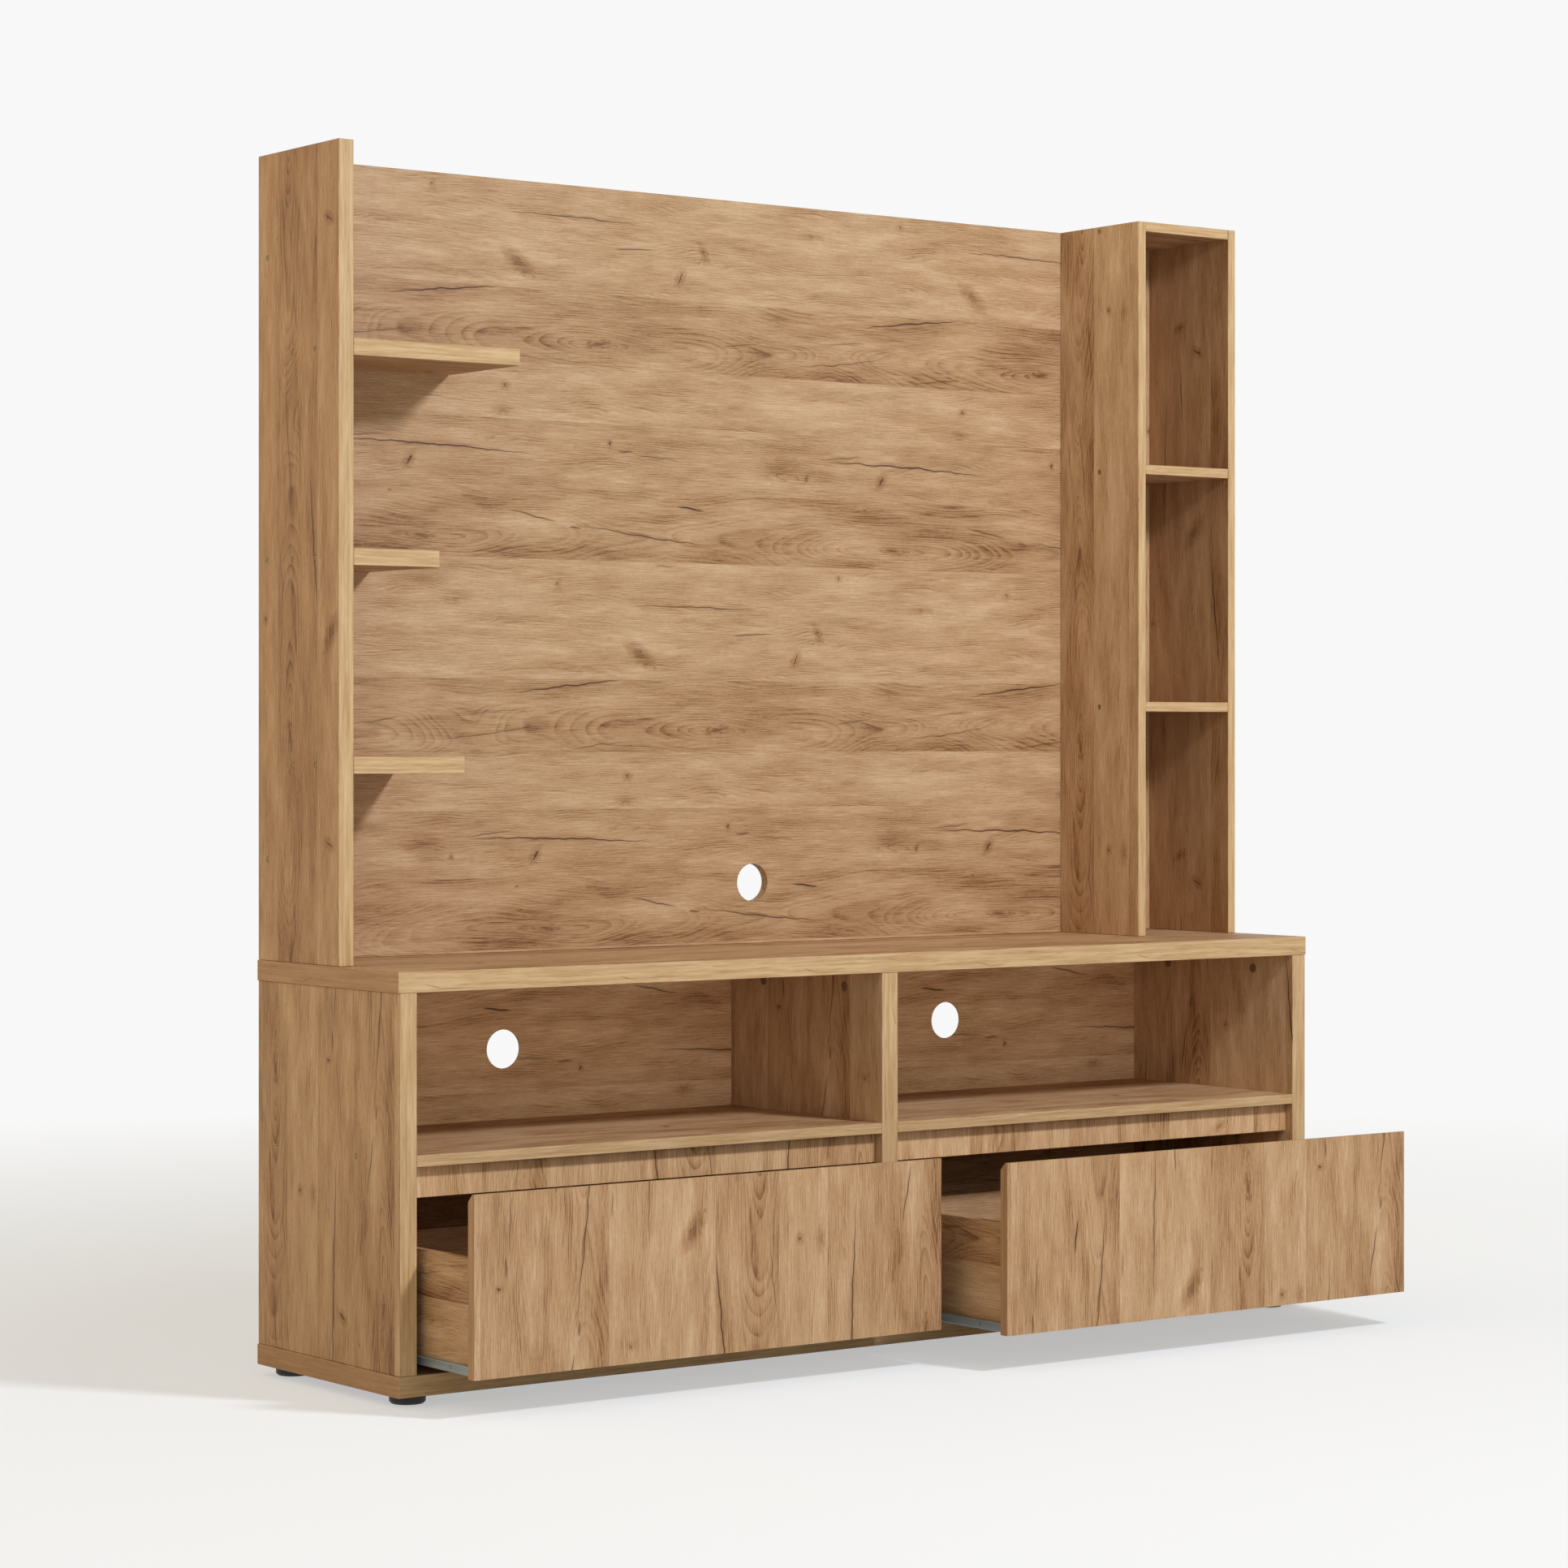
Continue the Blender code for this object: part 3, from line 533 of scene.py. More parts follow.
# %% The edge strip
STRAW = (219, 183, 137)
STRAW_DARK = (176, 132, 84)
STRIP_REPEAT = 332.0
STRIP_START = 870.0  # the slab's end is this far left of the middle
STRIP_BANDS = (120, 5, 2.0, 0.55)
STRIP_FIBRES = (26, 0.7, 2.0, 0.6)
STRIP_SWAY = 2  # mm
STRIP_TONE, BAND_TONE, STRIP_FIBRE_TONE = 0.42, 1.3, 0.95
STRIP_RELIEF = 0.5  # of the print's
STRIP_CRACKS = (
    (56, 8, 15, -0.22, 0.0, 0.55, 0.75),
    (86, 4.5, 24, 0.03, 0.0, 0.5, 0.6),
    (104, 8.5, 20, 0.05, 0.0, 0.45, 0.5),
    (212, 20, 9, -0.1, 0.0, 0.45, 0.35),
    (296, 15, 12, 0.05, 0.0, 0.45, 0.35),
    (150, 24, 10, 0.02, 0.0, 0.4, 0.3),
)


def edge_strip():
    """The strip as a pattern: tone, cracks and relief, at mm along and across it."""
    finish, (along, across) = new_pattern(
        "edge_strip", [("Along", "Float"), ("Across", "Float")],
        [("Tone", "Float"), ("Crack", "Float"), ("Relief", "Float")])
    bands = drawn_noise(finish, along, across, STRIP_BANDS)
    fibres = drawn_noise(finish, along, across, STRIP_FIBRES)
    tone = STRIP_TONE + bands * BAND_TONE + fibres * STRIP_FIBRE_TONE
    crack = cracks_at(along, across + bands * STRIP_SWAY, STRIP_CRACKS, STRIP_REPEAT)
    outputs = {"Tone": tone.at_least(0.0).at_most(1.0), "Crack": crack}
    finish.node("NodeGroupOutput", None, {**outputs, "Relief": fibres * STRIP_RELIEF}, ())
    return finish.tree


STRIP = edge_strip()
print(len(STRIP.nodes), "nodes print the strip")

# %% [markdown]
# ### One finish for each way a board was cut
#
# A board has a thickness axis, and an axis that the grain runs along. Faces
# that look along the thickness show the print, and all the others are edges.
# The numbers say where on the sheet the board was cut from: along and across
# are a sign times the axis plus an offset in mm. Unwrapping each board would
# place the print too, but here two axes and two offsets say it all. Cable holes
# are bored after pressing, so their walls show the bare chipboard.

# %% Board finishes
AXES = {"x": 0, "y": 1, "z": 2}
NORMAL_LIMIT = 0.5  # a face looks along an axis where its normal's share is above this
SLIDE_STEP = 10  # mm of thickness axis, less than from one board to the next
SHEEN = 0.2
GLOSS = 0.55  # roughness of the print and the strips
GLOSS_CHANGE = 0.15  # between fibres and the rest
RELIEF = {"Strength": 0.35, "Distance": 0.0003}
STRIP_CRACK_SHARE = 0.8
HOLE_WALL_RADIUS = 30.8  # mm, a little over the bored radius
CHIPS_PER_METRE = 700.0
CHIP_PALE = (186, 150, 108)
CHIP_DARK = (112, 80, 50)


def chipboard_wall(finish, place, spot, face, hole, colour):
    """The colour, with pressed chips on the walls within a cable hole's radius of its middle."""
    x, z = spot[0] - hole[0] * MM, spot[2] - hole[1] * MM
    near = (x * x + z * z).root() < HOLE_WALL_RADIUS
    inputs = {"Vector": place, "Scale": CHIPS_PER_METRE}
    chips = finish.node("TexVoronoi", {"feature": "F1"}, inputs, "Color")
    shade = finish.split(chips)[0]
    wall = finish.mix(shade, plain_colour(*CHIP_PALE), plain_colour(*CHIP_DARK))
    return finish.mix(near * (1 - face), colour, wall)


def strip_on_edges(finish, along, across, front):
    """(colour, relief) of the edge strip: straw on the front edges, oak on the others."""
    tone, crack, relief = finish.node(
        "Group", {"node_tree": STRIP}, {"Along": along, "Across": across},
        ("Tone", "Crack", "Relief"))
    straw = finish.mix(tone, plain_colour(*STRAW), plain_colour(*STRAW_DARK))
    oak = finish.mix(tone, plain_colour(*HONEY), plain_colour(*BROWN))
    colour = finish.mix(front, oak, straw)
    return finish.mix(crack * STRIP_CRACK_SHARE, colour, plain_colour(*UMBER)), relief


def board_finish(name, thick, grain, along_cut, across_cut,
                 tone=1.0, slide=(0, 0), low=0, hole=None):
    """A material for boards cut one way from the sheet.

    along_cut and across_cut are (sign, offset in mm). tone multiplies the
    print's colour, as one number or one each for red, green and blue. It is
    painted light, which makes a board paler, darker or cooler in place of the
    light that falls on it; on the aprons it is a paler print as well. On a board
    whose thickness runs along y it is one number, for its front face alone.
    slide moves the place on the sheet by so many mm per mm of thickness axis, so
    that parallel boards differ. low is where the edge strip starts across the
    thickness, in mm, and hole is the cable hole's middle in metres.
    """
    material, finish = new_material(name)
    place, normal = finish.node("TexCoord", None, None, ("Object", "Normal"))
    spot = finish.split(place * MM)
    facing = finish.split(normal)
    t, g = AXES[thick], AXES[grain]
    w = sum(AXES.values()) - t - g
    along = spot[g] * along_cut[0] + along_cut[1]
    across = spot[w] * across_cut[0] + across_cut[1]
    if slide != (0, 0):
        step = (spot[t] / SLIDE_STEP).whole() * SLIDE_STEP
        along, across = along + step * slide[0], across + step * slide[1]
    colour, relief = finish.node(
        "Group", {"node_tree": SHEET}, {"Along": along, "Across": across}, ("Colour", "Relief"))
    front = (facing[1] * -1) > NORMAL_LIMIT
    # Painted light: the tone makes this board paler, darker or cooler in place of the light that
    # falls on it.
    if tone != 1.0:
        colour = colour * (front * (tone - 1) + 1 if thick == "y" else tone)

    end = abs(facing[g]) > NORMAL_LIMIT
    lengthways = spot[g] + end * (spot[w] - spot[g]) + STRIP_START
    strip_colour, strip_relief = strip_on_edges(finish, lengthways, spot[t] - low, front)
    face = abs(facing[t]) > NORMAL_LIMIT
    colour = finish.mix(face, strip_colour, colour)
    relief = strip_relief + face * (relief - strip_relief)
    if hole:
        colour = chipboard_wall(finish, place, spot, face, hole, colour)
    bump = finish.node("Bump", None, {**RELIEF, "Height": relief})
    glaze(finish, {"Base Color": colour, "Roughness": GLOSS + relief * GLOSS_CHANGE,
                   "Normal": bump, "Specular IOR Level": SHEEN})
    return material


# %% [markdown]
# ### Where each board was cut
#
# A row gives the boards of one finish and their cut. Where the same knots show
# on a board as on the sheet, the offsets bring them to the same place. Some
# boards have a tone, which is painted light: it brightens the bay shelves, the
# cabinet's right side and divider, the bay backs, the drawer fronts and the
# aprons, darkens the left upright and the column's outer upright, and brightens
# and cools the column's inner upright. On the aprons it is a paler print as well.

# %% The boards
# Each tone below is painted light for the light that falls on that board; the aprons' tone is also
# a paler print.
BOARDS = {
    "hutch_panel_oak": (("hutch_back_panel",), dict(
        thick="y", grain="x", along_cut=(1, 840), across_cut=(-1, 1788), hole=(0.007, 0.707))),
    "left_front_oak": (("left_drawer_front",), dict(
        thick="y", grain="z", along_cut=(1, 395.5), across_cut=(1, 1191), tone=1.1)),
    "right_front_oak": (("right_drawer_front",), dict(
        thick="y", grain="z", along_cut=(1, 533.5), across_cut=(1, 339), tone=1.12)),
    "left_side_oak": (("left_side",), dict(
        thick="x", grain="z", along_cut=(1, 324), across_cut=(-1, 1117))),
    "left_upright_oak": (("left_upright",), dict(
        thick="x", grain="z", along_cut=(-1, 1491), across_cut=(1, 5),
        tone=(0.94, 0.9, 0.87))),
    "inner_upright_oak": (("column_inner_upright",), dict(
        thick="x", grain="z", along_cut=(1, -371), across_cut=(-1, 484),
        tone=(1.27, 1.38, 1.52))),
    "outer_upright_oak": (("column_outer_upright",), dict(
        thick="x", grain="z", along_cut=(1, 240), across_cut=(-1, 900),
        tone=(0.96, 0.89, 0.81))),
    "standing_board_oak": (("right_side", "centre_divider"), dict(
        thick="x", grain="z", along_cut=(1, 120), across_cut=(-1, 700),
        tone=(1.3, 1.36, 1.4), slide=(3.1, 5.7))),
    "column_back_oak": (("column_back",), dict(
        thick="y", grain="z", along_cut=(1, 40), across_cut=(1, 60))),
    "slab_oak": (("top_slab", "bottom_slab"), dict(
        thick="z", grain="x", along_cut=(1, 860), across_cut=(-1, 498), low=580)),
    "shelf_oak": (("left_bay_shelf", "right_bay_shelf"), dict(
        thick="z", grain="x", along_cut=(1, 1416), across_cut=(-1, 515), tone=1.15)),
    "hutch_shelf_oak": (("hutch_shelf_top", "hutch_shelf_middle", "hutch_shelf_bottom",
                         "column_top", "column_shelf_upper", "column_shelf_lower"), dict(
        thick="z", grain="x", along_cut=(1, 2200), across_cut=(-1, 900), slide=(2.3, 4.1))),
    "left_bay_back_oak": (("left_bay_back",), dict(
        thick="y", grain="x", along_cut=(-1, 269), across_cut=(1, -31.5),
        tone=1.8, hole=(-0.446, 0.460))),
    "right_bay_back_oak": (("right_bay_back",), dict(
        thick="y", grain="x", along_cut=(-1, 1124), across_cut=(1, -31.5),
        tone=1.7, hole=(0.424, 0.469))),
    "apron_oak": (("left_apron", "right_apron"), dict(
        thick="y", grain="z", along_cut=(1, 226), across_cut=(1, 1188), tone=1.45)),
    "drawer_side_oak": (("left_drawer_left_side", "left_drawer_right_side",
                         "right_drawer_left_side", "right_drawer_right_side"), dict(
        thick="x", grain="y", along_cut=(-1, 600), across_cut=(-1, 430), slide=(1.7, 0))),
    "drawer_back_oak": (("left_drawer_back", "right_drawer_back"), dict(
        thick="y", grain="x", along_cut=(1, 900), across_cut=(-1, 520))),
}

for name, (nodes, cut) in BOARDS.items():
    oak = board_finish(name, **cut)
    for node in nodes:
        for material_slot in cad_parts[node].material_slots:
            material_slot.material = oak
print(len(BOARDS), "oak finishes on", sum(len(nodes) for nodes, _ in BOARDS.values()), "boards")

# %% [markdown]
# ## Steel, plastic and nylon
#
# The runners are folded from steel sheet with a grey coat that is slightly
# uneven, and rubbed where rollers run. Feet and cam caps are moulded plastic:
# black with a fine grain, and brown with a ring and a cross for the driver,
# both sunk in by a bump and darkened with painted shade. Rollers are nylon,
# whose white is faintly clouded. All are noise of a few sizes on the place of
# a point. Only the caps need a drawn figure.

# %% Coated steel
COAT_DARK, COAT_PALE, COAT_RUBBED = (128, 136, 136), (163, 170, 168), (196, 198, 194)
COAT_METAL, COAT_GLOSS = 0.35, 0.42
STEEL_CLOUDS, STEEL_PEEL, STEEL_SCUFFS = 60.0, 1600.0, 300.0  # lumps per metre
CLOUD_STRETCH, SCUFF_STRETCH = (1, 0.2, 1), (1, 0.03, 1)  # drawn out along the runner


def mottled(finish, place, scale, stretch=(1, 1, 1), detail=3.0):
    """Noise around 0 on the place in metres, with scale in lumps per metre."""
    inputs = {"Vector": place * stretch, "Scale": scale, "Detail": detail}
    return finish.node("TexNoise", None, inputs, 0) - 0.5


def steel_finish():
    """A clouded grey coat, rubbed bright and smooth where the scuffs are strongest."""
    material, finish = new_material("coated_steel")
    place = finish.node("TexCoord", None, None, "Object")
    clouds = mottled(finish, place, STEEL_CLOUDS, CLOUD_STRETCH)
    peel = mottled(finish, place, STEEL_PEEL)
    scuffs = mottled(finish, place, STEEL_SCUFFS, SCUFF_STRETCH, 4.0)
    worn = ((scuffs + clouds * 0.4) * 6 - 0.8).at_least(0.0).at_most(1.0)
    stops = [(0.2, plain_colour(*COAT_DARK)), (0.8, plain_colour(*COAT_PALE))]
    coat = finish.ramp(clouds * 0.8 + scuffs * 0.5 + 0.5, stops)
    colour = finish.mix(worn * 0.6, coat, plain_colour(*COAT_RUBBED))
    height = {"Strength": 0.15, "Distance": 0.0002, "Height": peel + worn * 0.5}
    glaze(finish, {"Base Color": colour, "Metallic": COAT_METAL + worn * 0.4,
                   "Roughness": COAT_GLOSS + peel * 0.1 - worn * 0.12,
                   "Normal": finish.node("Bump", None, height)})
    return material


# %% Plastic and nylon
MOULD_CLOUDS, MOULD_GRAIN = 45.0, 2200.0  # lumps per metre
CAP_CLOUDS, CAP_GRAIN, CAP_GLOSS = 90.0, 2500.0, 0.45
# The last colour is painted shade for the sunk ring and cross of a cap.
CAP_PALE, CAP_DARK, CAP_GROOVE_SHADE = (150, 111, 72), (128, 92, 58), (52, 35, 22)
CAP_RING, CAP_RING_WIDTH = 6.6, 0.7  # mm, radius and half width
CAP_CROSS, CAP_CROSS_WIDTH = 3.6, 0.8  # mm, reach and half width


def moulded_finish(name, pale, dark, roughness):
    """Moulded plastic: a fine grain of small lumps, in two near tones."""
    material, finish = new_material(name)
    place = finish.node("TexCoord", None, None, "Object")
    clouds = mottled(finish, place, MOULD_CLOUDS)
    grain = mottled(finish, place, MOULD_GRAIN, detail=1.0)
    tone = clouds * 1.4 + grain * 0.5 + 0.5
    colour = finish.mix(tone, plain_colour(*pale), plain_colour(*dark))
    bump = finish.node("Bump", None, {"Strength": 0.2, "Distance": 0.0001, "Height": grain})
    glaze(finish, {"Base Color": colour, "Roughness": roughness + grain * 0.15, "Normal": bump})
    return material


def cam_cap_finish():
    """Brown caps: distance from a cap's middle draws its ring, and its cross.

    Every cap looks along x, and all sit at one height and at two depths.
    """
    material, finish = new_material("brown_cam_cap")
    place = finish.node("TexCoord", None, None, "Object")
    spot = finish.split(place * MM)
    low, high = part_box("left_side_front_cam_lock")
    rear_low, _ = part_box("left_side_rear_cam_lock")
    gap = (rear_low - low)[1] * MM
    middle = (low + high) / 2 * MM
    y = abs((spot[1] - middle[1] - gap / 2).wrapped(2 * gap)) - gap / 2
    z = spot[2] - middle[2]
    reach = (y * y + z * z).root()
    ring = (1 - abs(reach - CAP_RING) / CAP_RING_WIDTH).at_least(0.0)
    arm = (1 - abs(y).at_most(abs(z)) / CAP_CROSS_WIDTH).at_least(0.0) * (reach < CAP_CROSS)
    clouds = mottled(finish, place, CAP_CLOUDS)
    grain = mottled(finish, place, CAP_GRAIN, detail=1.0)
    tone = clouds + grain * 0.4 + 0.5
    colour = finish.mix(tone, plain_colour(*CAP_PALE), plain_colour(*CAP_DARK))
    # Painted shade: the sunk ring and cross are darkened as grooves in shade.
    colour = finish.mix((ring * 0.7).at_least(arm * 0.85), colour, plain_colour(*CAP_GROOVE_SHADE))
    height = {"Strength": 0.5, "Distance": 0.0005, "Height": grain * 0.1 - ring - arm}
    glaze(finish, {"Base Color": colour, "Roughness": CAP_GLOSS + grain * 0.1,
                   "Normal": finish.node("Bump", None, height)})
    return material


# %% The fittings
FITTINGS = {
    "coated_steel": steel_finish(),
    "black_plastic": moulded_finish("black_foot", (36, 32, 30), (22, 19, 18), 0.5),
    "white_nylon": moulded_finish(
        "white_nylon_roller", (232, 229, 220), (214, 210, 200), 0.4),
    "brown_plastic": cam_cap_finish(),
    "drawer_bottom": moulded_finish(
        "hardboard_bottom", (176, 146, 112), (150, 120, 88), 0.6),
}
dressed = 0
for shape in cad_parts.values():
    for material_slot in shape.material_slots:
        if material_slot.material.name in FITTINGS:
            material_slot.material = FITTINGS[material_slot.material.name]
            dressed += 1
print(dressed, "fittings finished")

# %% [markdown]
# ## Screws
#
# The boards are bored for the screws, and these fill the holes. A screw is a
# profile turned round its axis, so its surface is a grid: rows along the
# profile and columns round the axis. Two things break the round: the cross in
# the head, which is pressed in, and the thread, a ridge that climbs by one
# pitch a turn. Each is a formula on the grid, so no boolean is needed.


# %% The turned screw
COLUMNS = 24
FACE_ROWS = 8
FLAT_SHARE = 0.94  # of the head's radius, then its edge is rounded off
ROUNDING = 0.08  # of the head's depth
CROSS_WIDTH, CROSS_REACH = 0.30, 0.75  # of the head's radius
CROSS_DEPTH = 0.6  # of the head's depth
CROSS_FULL = 1.15  # above 1, the cross is deepest over its middle
# Painted shade rings a screw's head outside this share of its radius.
RECESS_SHADE_RIM = 0.8  # of the head's radius
ROWS_PER_TURN = 4
CORE_SHARE = 0.72  # of the shank's radius, the thread rises over the rest
TIP_TAPER, TIP_SHARE = 6, 0.15  # the last sixth of the thread narrows to this share


def turned_screw(head_radius, head_depth, rim, shank_radius, length, pitch, sunk):
    """(points, grime, rows): a screw along +x from its head's face at x = sunk.

    Head: rings of growing radius, sunk by a cross whose arms are where radius
    times |sin 2 angle| is small. Its side stays upright down to the share rim
    of its depth, and then runs in a cone to the shank. Thread: radius plus a
    ridge, 1 - |2 part - 1| squared, of distance / pitch - angle / turn. The
    painted shade number is 0 on the head's flat and 1 in the cross, round the
    rim and below, for the shade of the recess that the screw sits in.
    """
    angle = np.linspace(0, 2 * np.pi, COLUMNS, endpoint=False)[None, :]
    ring = np.linspace(0, 1, FACE_ROWS + 1)[1:, None] * head_radius * FLAT_SHARE
    arms = 1 - np.abs(np.sin(2 * angle)) * ring / (CROSS_WIDTH * head_radius)
    arms = np.clip(arms, 0, 1)
    fading = np.clip(CROSS_FULL - ring / (CROSS_REACH * head_radius), 0, 1)
    face_x = sunk + arms * fading * CROSS_DEPTH * head_depth
    face_r = ring + 0 * angle
    side_x = np.array([ROUNDING, rim, 1.0])[:, None] * head_depth + sunk + 0 * angle
    side_r = np.array([1.0, 1.0, shank_radius / head_radius])[:, None] * head_radius + 0 * angle

    turns = int((length - head_depth - sunk) / pitch) - 1
    climb = np.linspace(0, 1, ROWS_PER_TURN * turns + 1)[1:, None]
    thread_x = sunk + head_depth + climb * turns * pitch + 0 * angle
    phase = (thread_x / pitch - angle / (2 * np.pi)) % 1
    taper = np.clip((1 - climb) * TIP_TAPER, TIP_SHARE, 1)
    ridge = (1 - CORE_SHARE) * (1 - np.abs(2 * phase - 1)) ** 2
    thread_r = (CORE_SHARE + ridge) * shank_radius * taper

    x = np.concatenate([face_x, side_x, thread_x])
    r = np.concatenate([face_r, side_r, thread_r])
    rings = np.stack([x, r * np.cos(angle), r * np.sin(angle)], 2).reshape(-1, 3)
    poles = np.array([[sunk + CROSS_FULL * CROSS_DEPTH * head_depth, 0, 0], [length, 0, 0]])
    # Painted shade of the recess: 1 in the cross, round the rim, down the side and thread, 0 on
    # the head's flat.
    grime = np.ones((len(x), COLUMNS))
    grime[:FACE_ROWS] = np.maximum(arms, ring > RECESS_SHADE_RIM * head_radius)
    return np.concatenate([rings, poles]), np.append(grime.ravel(), [1.0, 1.0]), len(x)


def screw_faces(rows):
    """(quads between neighbouring rows, fans at both poles), all facing outwards."""
    here = np.arange(COLUMNS)
    after = np.roll(here, -1)
    start = np.arange(rows - 1)[:, None] * COLUMNS
    below = start + COLUMNS
    quads = np.stack([start + here, below + here, below + after, start + after], 2)
    head, tip = rows * COLUMNS, rows * COLUMNS + 1
    last = (rows - 1) * COLUMNS
    front = np.stack([np.full(COLUMNS, head), here, after], 1)
    back = np.stack([last + here, np.full(COLUMNS, tip), last + after], 1)
    return quads.reshape(-1, 4), np.concatenate([front, back])


# %% Driving the screws
SCREW_TWIST = 0.7  # radians from one screw to the next


def driven_screws(name, body, places, shape, material):
    """All screws of one kind on one body: places are (x, y, z, way), way +1 or -1 along x.

    Each is turned by its own angle round its axis. One that is driven the
    other way is turned half round z, not mirrored, so its thread stays right.
    """
    points, grime, rows = turned_screw(**shape)
    x, y, z = points.T
    spots = np.array(places, dtype=float)
    way = spots[:, 3:]
    twist = SCREW_TWIST * np.arange(len(places))[:, None]
    turned = np.stack([x * way, (y * np.cos(twist) - z * np.sin(twist)) * way,
                       y * np.sin(twist) + z * np.cos(twist)], 2)
    corners = (turned + spots[:, None, :3]).reshape(-1, 3)
    step = np.arange(len(places))[:, None, None] * len(points)
    quads, fans = ((part + step).reshape(-1, part.shape[1]) for part in screw_faces(rows))
    mesh = bpy.data.meshes.new(name)
    mesh.from_pydata(corners.tolist(), [], quads.tolist() + fans.tolist())
    mesh.polygons.foreach_set("use_smooth", [True] * len(mesh.polygons))
    mesh.materials.append(material)
    # The painted shade number, one per point, for the screws' material.
    layer = mesh.attributes.new("grime", "FLOAT", "POINT")
    layer.data.foreach_set("value", np.tile(grime, len(places)))
    piece = bpy.data.objects.new(name, mesh)
    bpy.context.scene.collection.objects.link(piece)
    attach(piece, body)
    print(name, len(places), "screws,", len(mesh.polygons), "faces")
    return piece


# %% [markdown]
# The board screws are plated yellow, and the small ones in the runners plain
# zinc. Only the flat of a head stays bright. The cross, the rim and the thread
# are painted with shade, the shade of the recess that the screw sits in, so
# from afar a screw is a dark ring with a bright middle. The mesh carries a
# number per point for this painted shade, made with its shape.

# %% Plating
# Painted shade: the dark colour for the cross, rim and thread, where the recess round a sunk screw
# is in shade, and its share.
RECESS_SHADE = (58, 40, 22)
RECESS_SHADE_SHARE = 0.9
PLATING_CLOUDS = 900.0  # lumps per metre
PLATING_GLOSS = 0.32


def plated_finish(name, bright, dull):
    """Clouded metal, darkened to painted shade, less metallic and rougher where the screw's shade
    number is.
    """
    material, finish = new_material(name)
    place = finish.node("TexCoord", None, None, "Object")
    clouds = mottled(finish, place, PLATING_CLOUDS)
    # Painted shade, read from the number on the mesh.
    grime = finish.node("Attribute", {"attribute_name": "grime"}, None, "Fac") * RECESS_SHADE_SHARE
    colour = finish.mix(clouds * 2 + 0.5, plain_colour(*bright), plain_colour(*dull))
    colour = finish.mix(grime, colour, plain_colour(*RECESS_SHADE))
    glaze(finish, {"Base Color": colour, "Metallic": 1 - grime,
                   "Roughness": PLATING_GLOSS + clouds * 0.3 + grime * 0.4})
    return material


# %% [markdown]
# The holes' places were worked out when the boards were designed, as shares of
# the cabinet's depth and the column's height and as middles of boards. The
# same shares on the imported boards' boxes give the places back.

# %% Board screws
BOARD_SCREW = dict(head_radius=0.0040, head_depth=0.0029, rim=0.6, shank_radius=0.0023,
                   length=0.049, pitch=0.0028, sunk=0.0005)
SHELF_SCREW_SPACING = 0.065
PANEL_SCREW_SHARES = (0.126, 0.498, 0.874)  # of the column's height
SIDE_SCREW_SHARES = (0.295, 0.8575)  # of the cabinet's depth


def middle_of(node):
    low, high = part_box(node)
    return (low + high) / 2


slab_low, slab_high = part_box("top_slab")
column_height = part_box("column_top")[1][2] - slab_high[2]
left_face, right_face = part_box("left_upright")[0][0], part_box("column_outer_upright")[1][0]
inner_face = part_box("column_inner_upright")[0][0]

board_places = []
for shelf in ("hutch_shelf_top", "hutch_shelf_middle", "hutch_shelf_bottom"):
    _, y, z = middle_of(shelf)
    board_places += [(left_face, y + side * SHELF_SCREW_SPACING / 2, z, 1) for side in (-1, 1)]
for share in PANEL_SCREW_SHARES:
    z = slab_high[2] + share * column_height
    board_places.append((left_face, middle_of("hutch_back_panel")[1], z, 1))
    board_places.append((right_face, middle_of("column_back")[1], z, -1))
for shelf in ("column_top", "column_shelf_upper", "column_shelf_lower"):
    _, y, z = middle_of(shelf)
    board_places += [(inner_face, y, z, 1), (right_face, y, z, -1)]
for share in SIDE_SCREW_SHARES:
    y = slab_low[1] + share * (slab_high[1] - slab_low[1])
    z = middle_of("left_bay_shelf")[2]
    board_places += [(left_face, y, z, 1), (right_face, y, z, -1)]
yellow = plated_finish("yellow_plated_screw", (196, 168, 112), (150, 122, 72))
driven_screws("board_screws", "cabinet", board_places, BOARD_SCREW, yellow)

# %% Runner screws
FLAT_SCREW = dict(head_radius=0.0029, head_depth=0.0016, rim=0.09, shank_radius=0.0013,
                  length=0.0100, pitch=0.0012, sunk=0.00008)
STEEL_FACE = 0.0015  # a runner's face stands this far off its board
RAIL_SCREW_SHARES = (0.2, 0.8)  # of a rail's length
RUNNER_SCREW_SHARES = (0.17, 0.75)


def steel_places(node, board_x, way, shares):
    """Screws at shares of a steel section's length, driven along x into the board at board_x."""
    low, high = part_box(node)
    x, z = board_x - way * STEEL_FACE, (low[2] + high[2]) / 2
    return [(x, low[1] + share * (high[1] - low[1]), z, way) for share in shares]


zinc = plated_finish("zinc_plated_screw", (190, 192, 192), (140, 143, 144))
walls = {"left": ("left_side", "centre_divider"), "right": ("centre_divider", "right_side")}
rail_places = []
for bay, (left_wall, right_wall) in walls.items():
    left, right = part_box(left_wall)[1][0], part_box(right_wall)[0][0]
    rail_places += steel_places(f"{bay}_bay_left_rail", left, -1, RAIL_SCREW_SHARES)
    rail_places += steel_places(f"{bay}_bay_right_rail", right, 1, RAIL_SCREW_SHARES)
    drawer = f"{bay}_drawer"
    left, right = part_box(f"{drawer}_left_side")[0][0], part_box(f"{drawer}_right_side")[1][0]
    places = steel_places(f"{drawer}_left_runner", left, 1, RUNNER_SCREW_SHARES)
    places += steel_places(f"{drawer}_right_runner", right, -1, RUNNER_SCREW_SHARES)
    driven_screws(f"{drawer}_runner_screws", drawer, places, FLAT_SCREW, zinc)
driven_screws("rail_screws", "cabinet", rail_places, FLAT_SCREW, zinc)

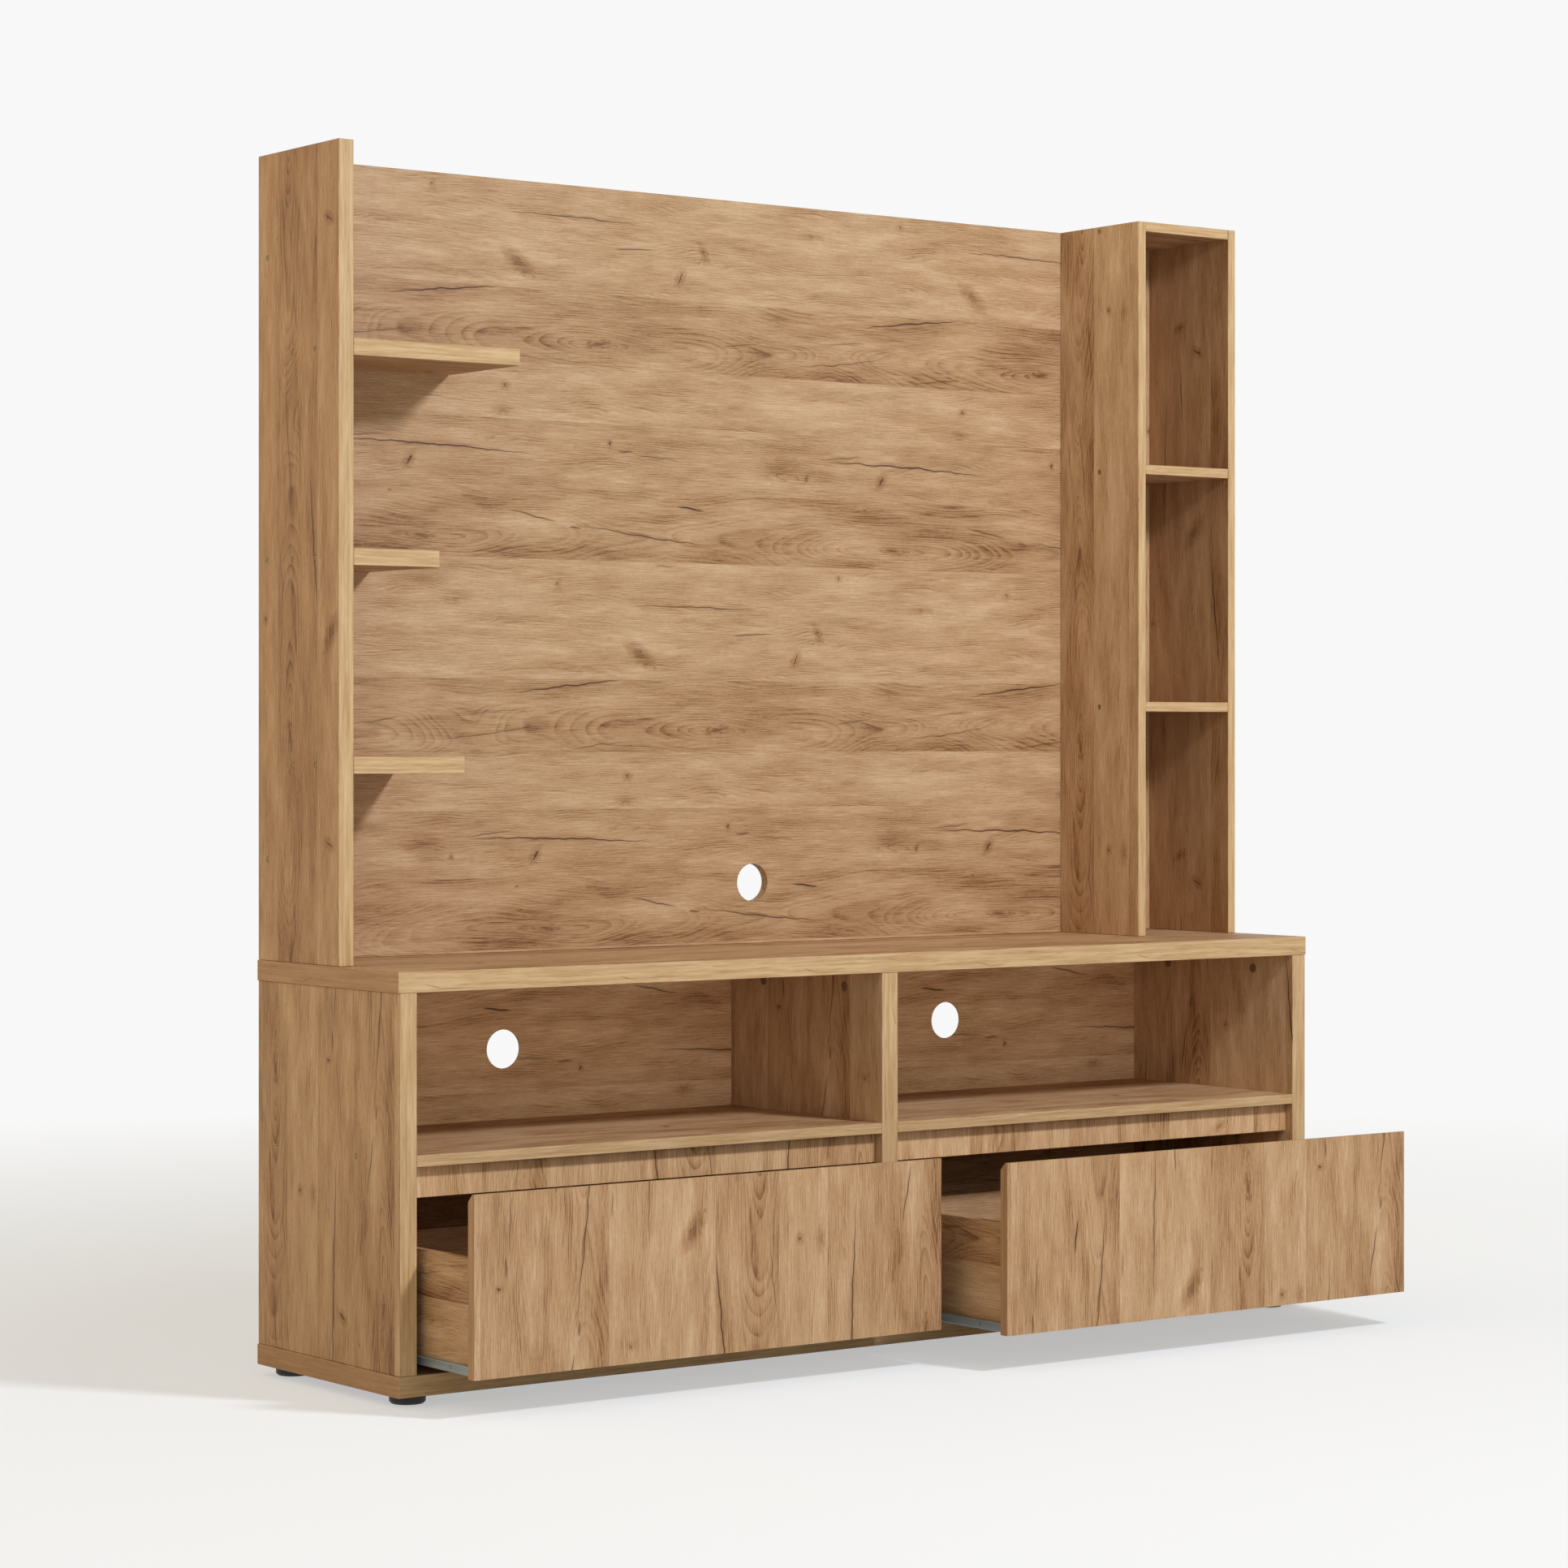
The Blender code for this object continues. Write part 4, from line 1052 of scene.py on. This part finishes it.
# %% [markdown]
# ## The studio
#
# The shadows tell where the light stood. The top shelf's shadow falls at 45
# degrees to the left, yet the column throws none on the panel beside it, and
# the slab's shadow in the bays is steeper than the shelf's. So the key light is
# a lamp close by, in front of the column, and not a far sun. A sphere of 0.2 m
# gives edges as soft as the real ones. High and low boards are equally bright,
# though, so its light doesn't fall off with distance: its falloff is constant.

# %% The key light
KEY_PLACE = (0.56, -2.30, 2.52)
KEY_SIZE = 0.20  # radius in metres
KEY_LEVEL = 0.62  # what it adds to a white surface that faces it
KEY_TINT = (0.92, 1.0, 1.13)

lamp = bpy.data.lights.new("key", "POINT")
lamp.energy = KEY_LEVEL * 4 * math.pi ** 2  # 4 pi^2 watts light white to a level of 1
lamp.color = KEY_TINT
lamp.shadow_soft_size = KEY_SIZE
lamp.use_nodes = True
glow = Finish(lamp.node_tree)
strength = glow.node("LightFalloff", None, {"Strength": 1.0}, "Constant")
beam = glow.node("Emission", None, {"Strength": strength})
glow.node("OutputLight", None, {"Surface": beam}, ())
key = bpy.data.objects.new("key", lamp)
key.location = KEY_PLACE
bpy.context.scene.collection.objects.link(key)
print("key light level", KEY_LEVEL, "from", KEY_PLACE)

# %% [markdown]
# The background is pale for the camera and for reflections. The light that the
# world scatters on to the boards is read from their tones: most of it comes
# level, from in front and a little to the left, and lights even the back of the
# bays, and a warmer part comes from the left and behind. Little comes from
# above or below, or the undersides of the shelves would shine. More lamps could
# do this too, but each would throw its own shadows.

# %% The world
BACKDROP = 0.94
# axis to the light, how tight it is round that axis, linear colour
FRONT_FILL = ((-0.32, -0.947, 0.0), 6.0, (0.72, 0.94, 1.10))
REAR_FILL = ((-0.77, 0.63, 0.10), 2.0, (1.06, 0.88, 0.60))
ROOM_FILL = (0.32, 0.29, 0.22)


def fill_from(direction, axis, tightness, colour):
    """Light from round an axis: its colour times the cosine off the axis to a power."""
    cosine = (direction * axis).total().at_least(0.0)
    return cosine.sum("POWER", cosine, tightness) * colour


def seen_directly(finish):
    """1 where the camera, a reflection or glass sees this, 0 for scattered light."""
    rays = ("Is Camera Ray", "Is Glossy Ray", "Is Transmission Ray")
    camera_ray, glossy_ray, glass_ray = finish.node("LightPath", None, None, rays)
    return camera_ray.at_least(glossy_ray).at_least(glass_ray)


world = bpy.data.worlds.new("studio")
world.use_nodes = True
bpy.context.scene.world = world
air = Finish(world.node_tree)
outward = air.node("TexCoord", None, None, "Generated")
fill = fill_from(outward, *FRONT_FILL) + fill_from(outward, *REAR_FILL) + ROOM_FILL
sky = air.mix(seen_directly(air), fill, (BACKDROP,) * 3)
background = air.node("Background", None, {"Color": sky, "Strength": 1.0})
air.node("OutputWorld", None, {"Surface": background}, ())
print("world", len(world.node_tree.nodes), "nodes, backdrop", BACKDROP)

# %% [markdown]
# The floor is a disc that fades into the world from its middle outwards, so no
# edge shows. For the camera it is half lit and half of a fixed tone, which
# keeps the cabinet's shadow but leaves it faint.

# %% The floor
FLOOR_RADIUS = 7.0
FLOOR_CORNERS = 96
FADE_START, FADE_LENGTH = 1.2, 3.0  # metres from the middle
FLOOR_LIT = 0.93  # its colour for the camera
FLOOR_SCATTER = 0.62  # its colour for light that it throws back on the boards
FLOOR_GLOW = 0.5  # the share of the fixed tone

turns = np.linspace(0, 2 * math.pi, FLOOR_CORNERS, endpoint=False)
circle = np.stack([np.cos(turns), np.sin(turns), 0 * turns], 1) * FLOOR_RADIUS
floor_mesh = bpy.data.meshes.new("floor")
floor_mesh.from_pydata(circle.tolist(), [], [list(range(FLOOR_CORNERS))])
floor = bpy.data.objects.new("floor", floor_mesh)
bpy.context.scene.collection.objects.link(floor)

material, finish = new_material("studio_floor")
x, y, _ = finish.split(finish.node("TexCoord", None, None, "Object"))
fade = 1 - (((x * x + y * y).root() - FADE_START) / FADE_LENGTH).at_least(0.0).at_most(1.0)
seen = seen_directly(finish)
shade = finish.mix(seen, (FLOOR_SCATTER,) * 3, (FLOOR_LIT,) * 3)
lit = finish.node("BsdfDiffuse", None, {"Color": shade})
fixed = finish.node("Emission", None, {"Color": (BACKDROP,) * 3, "Strength": 1.0})
half_lit = finish.node("MixShader", None, {0: seen * FLOOR_GLOW, 1: lit, 2: fixed})
clear = finish.node("BsdfTransparent", None, {"Color": (1, 1, 1)})
close_with(finish, finish.node("MixShader", None, {0: fade, 1: clear, 2: half_lit}))
floor_mesh.materials.append(material)
print("floor", 2 * FLOOR_RADIUS, "m across, gone at", FADE_START + FADE_LENGTH, "m")

bpy.context.scene.view_settings.view_transform = "Standard"
